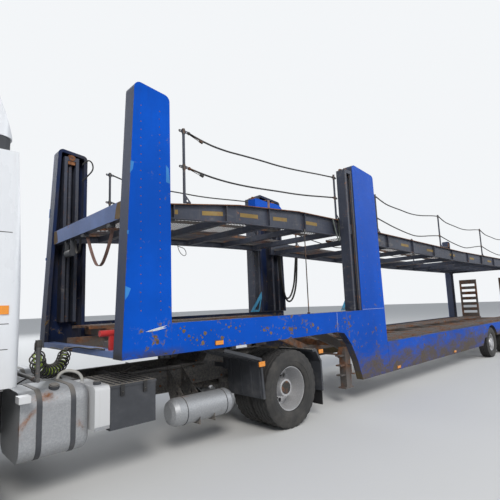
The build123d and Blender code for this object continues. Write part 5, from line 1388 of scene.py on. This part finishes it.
def make_frame_fittings():
    """Hoses on the frame, bolts, ribs of the catwalk and steps, mud flaps, markers, latches and couplings."""
    wires = Shape()
    for route in FRAME_HOSES:
        wires.tube(bent(route), 0.008)
    wires.make("frame_hoses", "black_rubber", "tractor")
    ribs = Shape()
    for z in (0.430, 0.760):
        for k in range(4):
            y = 1.090 + 0.035 * k
            ribs.box((8.24, 8.59), (y, y + 0.010), (z, z + 0.006))
    ribs.mirror()
    for k in range(17):
        y = -0.37 + 0.05 * k
        for x in ((6.17, 6.40), (6.43, 6.66)):
            ribs.box(x, (y - 0.006, y + 0.006), (0.930, 0.934))
    ribs.make("catwalk_ribs", "tank_metal", "tractor")
    bolts = Shape()
    for x in FRAME_BOLTS_X:
        for z in (0.685, 0.860):
            bolts.rod((x, 0.400, z), (x, 0.412, z), 0.014, 6)
    for x in (3.90, 4.05, 4.35, 4.50):
        bolts.rod((x, 0.30, 0.905), (x, 0.30, 0.920), 0.014, 6)
    bolts.mirror().make("frame_bolts", "rust", "tractor")
    flaps = Shape()
    flaps.box((2.945, 2.957), (0.62, 1.22), (0.18, 0.46))
    flaps.rod((2.951, 0.60, 0.45), (2.951, 1.24, 0.45), 0.008, 10)
    flaps.mirror().make("mud_flaps", "black_rubber", "tractor")
    markers = Shape()
    markers.box((4.130, 4.230), (1.250, 1.262), (0.870, 0.930))
    markers.box((2.925, 3.020), (1.250, 1.260), (0.905, 0.960))
    markers.mirror().make("guard_markers", "amber_lamp", "tractor")
    latches = Shape()
    for x in (5.74, 5.98):
        latches.box((x - 0.02, x + 0.02), (1.159, 1.176), (0.82, 0.925))
        latches.rod((x, 1.172, 0.85), (x, 1.186, 0.85), 0.012, 10)
    for y in (0.55, 0.95):
        for x in ((5.606, 5.6145), (6.1055, 6.114)):
            latches.box(x, (y - 0.02, y + 0.02), (0.80, 0.925))
    latches.make("battery_latches", "black_rubber", "tractor")
    couplings = Shape()
    for rod in COUPLINGS:
        couplings.rod(*rod)
    couplings.make("line_couplings", "dark_steel", "tractor")


# Fittings of the cab

GRILLE_X = (8.9885, 8.9915)
SCREEN_Y = 1.022


def on_face(z, proud, y=None):
    """A point on the cab's leaning front at a height, as (x, z) or with its y between them."""
    x = CAB_FACE - SCREEN_LEAN * max(0, z - 1.9) + proud
    return (x, z) if y is None else (x, y, z)


def make_screen_fittings():
    """The windscreen's rubber, three wipers and the grille's mesh."""
    seal = Shape()
    for y, z0, z1 in (((-SCREEN_Y, SCREEN_Y), 1.992, 2.012), ((-SCREEN_Y, SCREEN_Y), 2.888, 2.908),
                      ((-SCREEN_Y, -1.006), 2.0, 2.9), ((1.006, SCREEN_Y), 2.0, 2.9)):
        seal.side([on_face(z0, -0.030), on_face(z0, 0.004), on_face(z1, 0.004), on_face(z1, -0.030)], y)
    for y in (-0.72, -0.05, 0.62):
        pivot, back, reach = on_face(1.96, 0.006), on_face(1.96, -0.006), y + 0.34
        seal.rod((back[0], reach, 1.960), (pivot[0] + 0.002, reach, 1.962), 0.022, 16)
        arm = [(pivot[0], reach, 1.962), on_face(2.080, 0.010, y + 0.24), on_face(2.360, 0.004, y - 0.06)]
        blade = [on_face(2.060, -0.004, y - 0.06), on_face(2.640, -0.004, y - 0.06)]
        for path in (arm, blade):
            seal.tube(path, 0.007)
    seal.make("screen_rubber_and_wipers", "black_rubber", "cab")
    mesh = Shape()
    for k in range(6):
        z = 1.410 + 0.075 * k
        for j in range(76):
            y = -0.75 + 0.02 * j
            mesh.box(GRILLE_X, (y - 0.002, y + 0.002), (z, z + 0.042))
        mesh.box(GRILLE_X, (-0.76, 0.76), (z + 0.019, z + 0.023))
    mesh.make("grille_mesh", "dark_steel", "cab")


def make_cab_joints():
    """Panel joints, the roof's band, markers, roof lamps, the hatch and mirror glass."""
    lines = Shape()
    skin = (CAB_SIDE, CAB_SIDE + FILM)
    for z in (1.356, 1.556, 2.300):
        lines.box((6.985, 7.545), skin, (z, z + 0.006))
    for x in (7.060, 7.300):
        lines.box((x, x + 0.006), skin, (1.080, 1.356))
    lines.mirror().make("panel_joints", "grease", "cab")
    band = Shape()
    band.frame(rounded((7.005, 8.675), (-1.212, 1.212), 0.10), rounded((7.06, 8.62), (-1.150, 1.150), 0.06),
               (3.0015, 3.1285), on_top)
    band.make("roof_band", "dark_plastic", "cab")
    markers = Shape()
    markers.box((6.990, 7.150), (CAB_SIDE, CAB_SIDE + 0.010), (1.635, 1.705))
    markers.mirror()
    for y in (-0.86, -0.43, 0.0, 0.43, 0.86):
        markers.box((8.622, 8.650), (y - 0.045, y + 0.045), (3.250, 3.290))
    markers.make("cab_markers", "amber_lamp", "cab")
    hatch = Shape()
    hatch.rod((8.660, 1.425, 2.479), (8.660, 1.425, 2.4835), 0.012, 12)
    hatch.mirror()
    hatch.frame(rounded((7.53, 7.87), (-0.30, 0.30), 0.05), rounded((7.55, 7.85), (-0.28, 0.28), 0.04),
                (3.890, 3.915), on_top)
    hatch.box((7.545, 7.855), (-0.285, 0.285), (3.890, 3.908))
    hatch.make("roof_hatch", "dark_plastic", "cab")
    for side, hand in SIDES:
        pane = Shape()
        for z in ((2.10, 2.46), (1.97, 2.08)):
            outline = [(side * y, z) for y, z in rounded((CAB_SIDE + 0.132, CAB_SIDE + 0.228), z, 0.02, 3)]
            pane.prism(outline, (8.6275, 8.6305), on_end)
        pane.make(f"mirror_glass_{hand}", "mirror", "cab")


def window_outline(grow):
    """The door's window, larger all round by grow."""
    rear, front, sill, knee, top = 7.650, 8.510, 1.960, 2.200, 2.810
    lean = SCREEN_LEAN * (top - knee)
    return [(rear - grow, sill - grow), (front + grow, sill - grow), (front + grow, knee),
            (front - lean + grow, top + grow), (rear - grow, top + grow)]


def make_door_trim():
    """The window's rubber, the handle, the lock and a joint near each door's foot."""
    handle = rounded((7.622, 7.802), (1.787, 1.828), 0.012, 3)
    for side, hand in SIDES:
        trim = Shape()
        trim.frame(window_outline(0.014), window_outline(0.0), both(side, CAB_SIDE - 0.050, CAB_SIDE + 0.003),
                   on_side)
        trim.side(handle, both(side, CAB_SIDE - 0.016, CAB_SIDE + 0.010))
        trim.rod((7.848, side * CAB_SIDE, 1.800), (7.848, side * (CAB_SIDE + 0.003), 1.800), 0.011, 16)
        trim.box((7.66, 8.50), both(side, CAB_SIDE - 0.001, CAB_SIDE + 0.0035), (1.24, 1.262))
        trim.make(f"door_trim_{hand}", "black_rubber", f"{hand}_door")


LAMP_X = 8.957
LAMP_BOWL = ((0.001, 0.001), (0.001, 0.030), (0.022, 0.064), (0.026, 0.064), (0.026, 0.068), (0.0005, 0.068))


def make_front_lamps():
    bowls, turn = Shape(), Shape()
    for y in (0.620, 0.770):
        bowls.lathe((LAMP_X, y, 0.700), (1, 0, 0), LAMP_BOWL)
    for y in (0.545, 0.839):
        turn.box((LAMP_X, LAMP_X + 0.031), (y, y + 0.006), (0.61, 0.79))
    bowls.mirror().make("headlamp_bowls", "mirror", "tractor")
    turn.mirror().make("turn_lamps", "amber_lamp", "tractor")


make_camera()
make_studio()
make_ropes()
make_supply_coils()
make_hose_loops()
make_straps()
dress_nodes()
make_tyres()
make_hubs()
make_tracks()
make_middle_mesh()
make_marks()
make_tapes()
make_post_works()
make_rail_gear("front_deck", FRONT_DECK, FRONT_RAILS)
make_rail_gear("rear_deck", REAR_DECK, REAR_RAILS)
make_turnbuckles()
make_end_beam_gear()
make_chock_gear()
make_lamp_fittings()
make_leg_gear()
make_air_gear()
make_ramp_treads()
make_sill_gear()
make_tank_fittings()
make_running_gear()
make_frame_fittings()
make_screen_fittings()
make_cab_joints()
make_door_trim()
make_front_lamps()
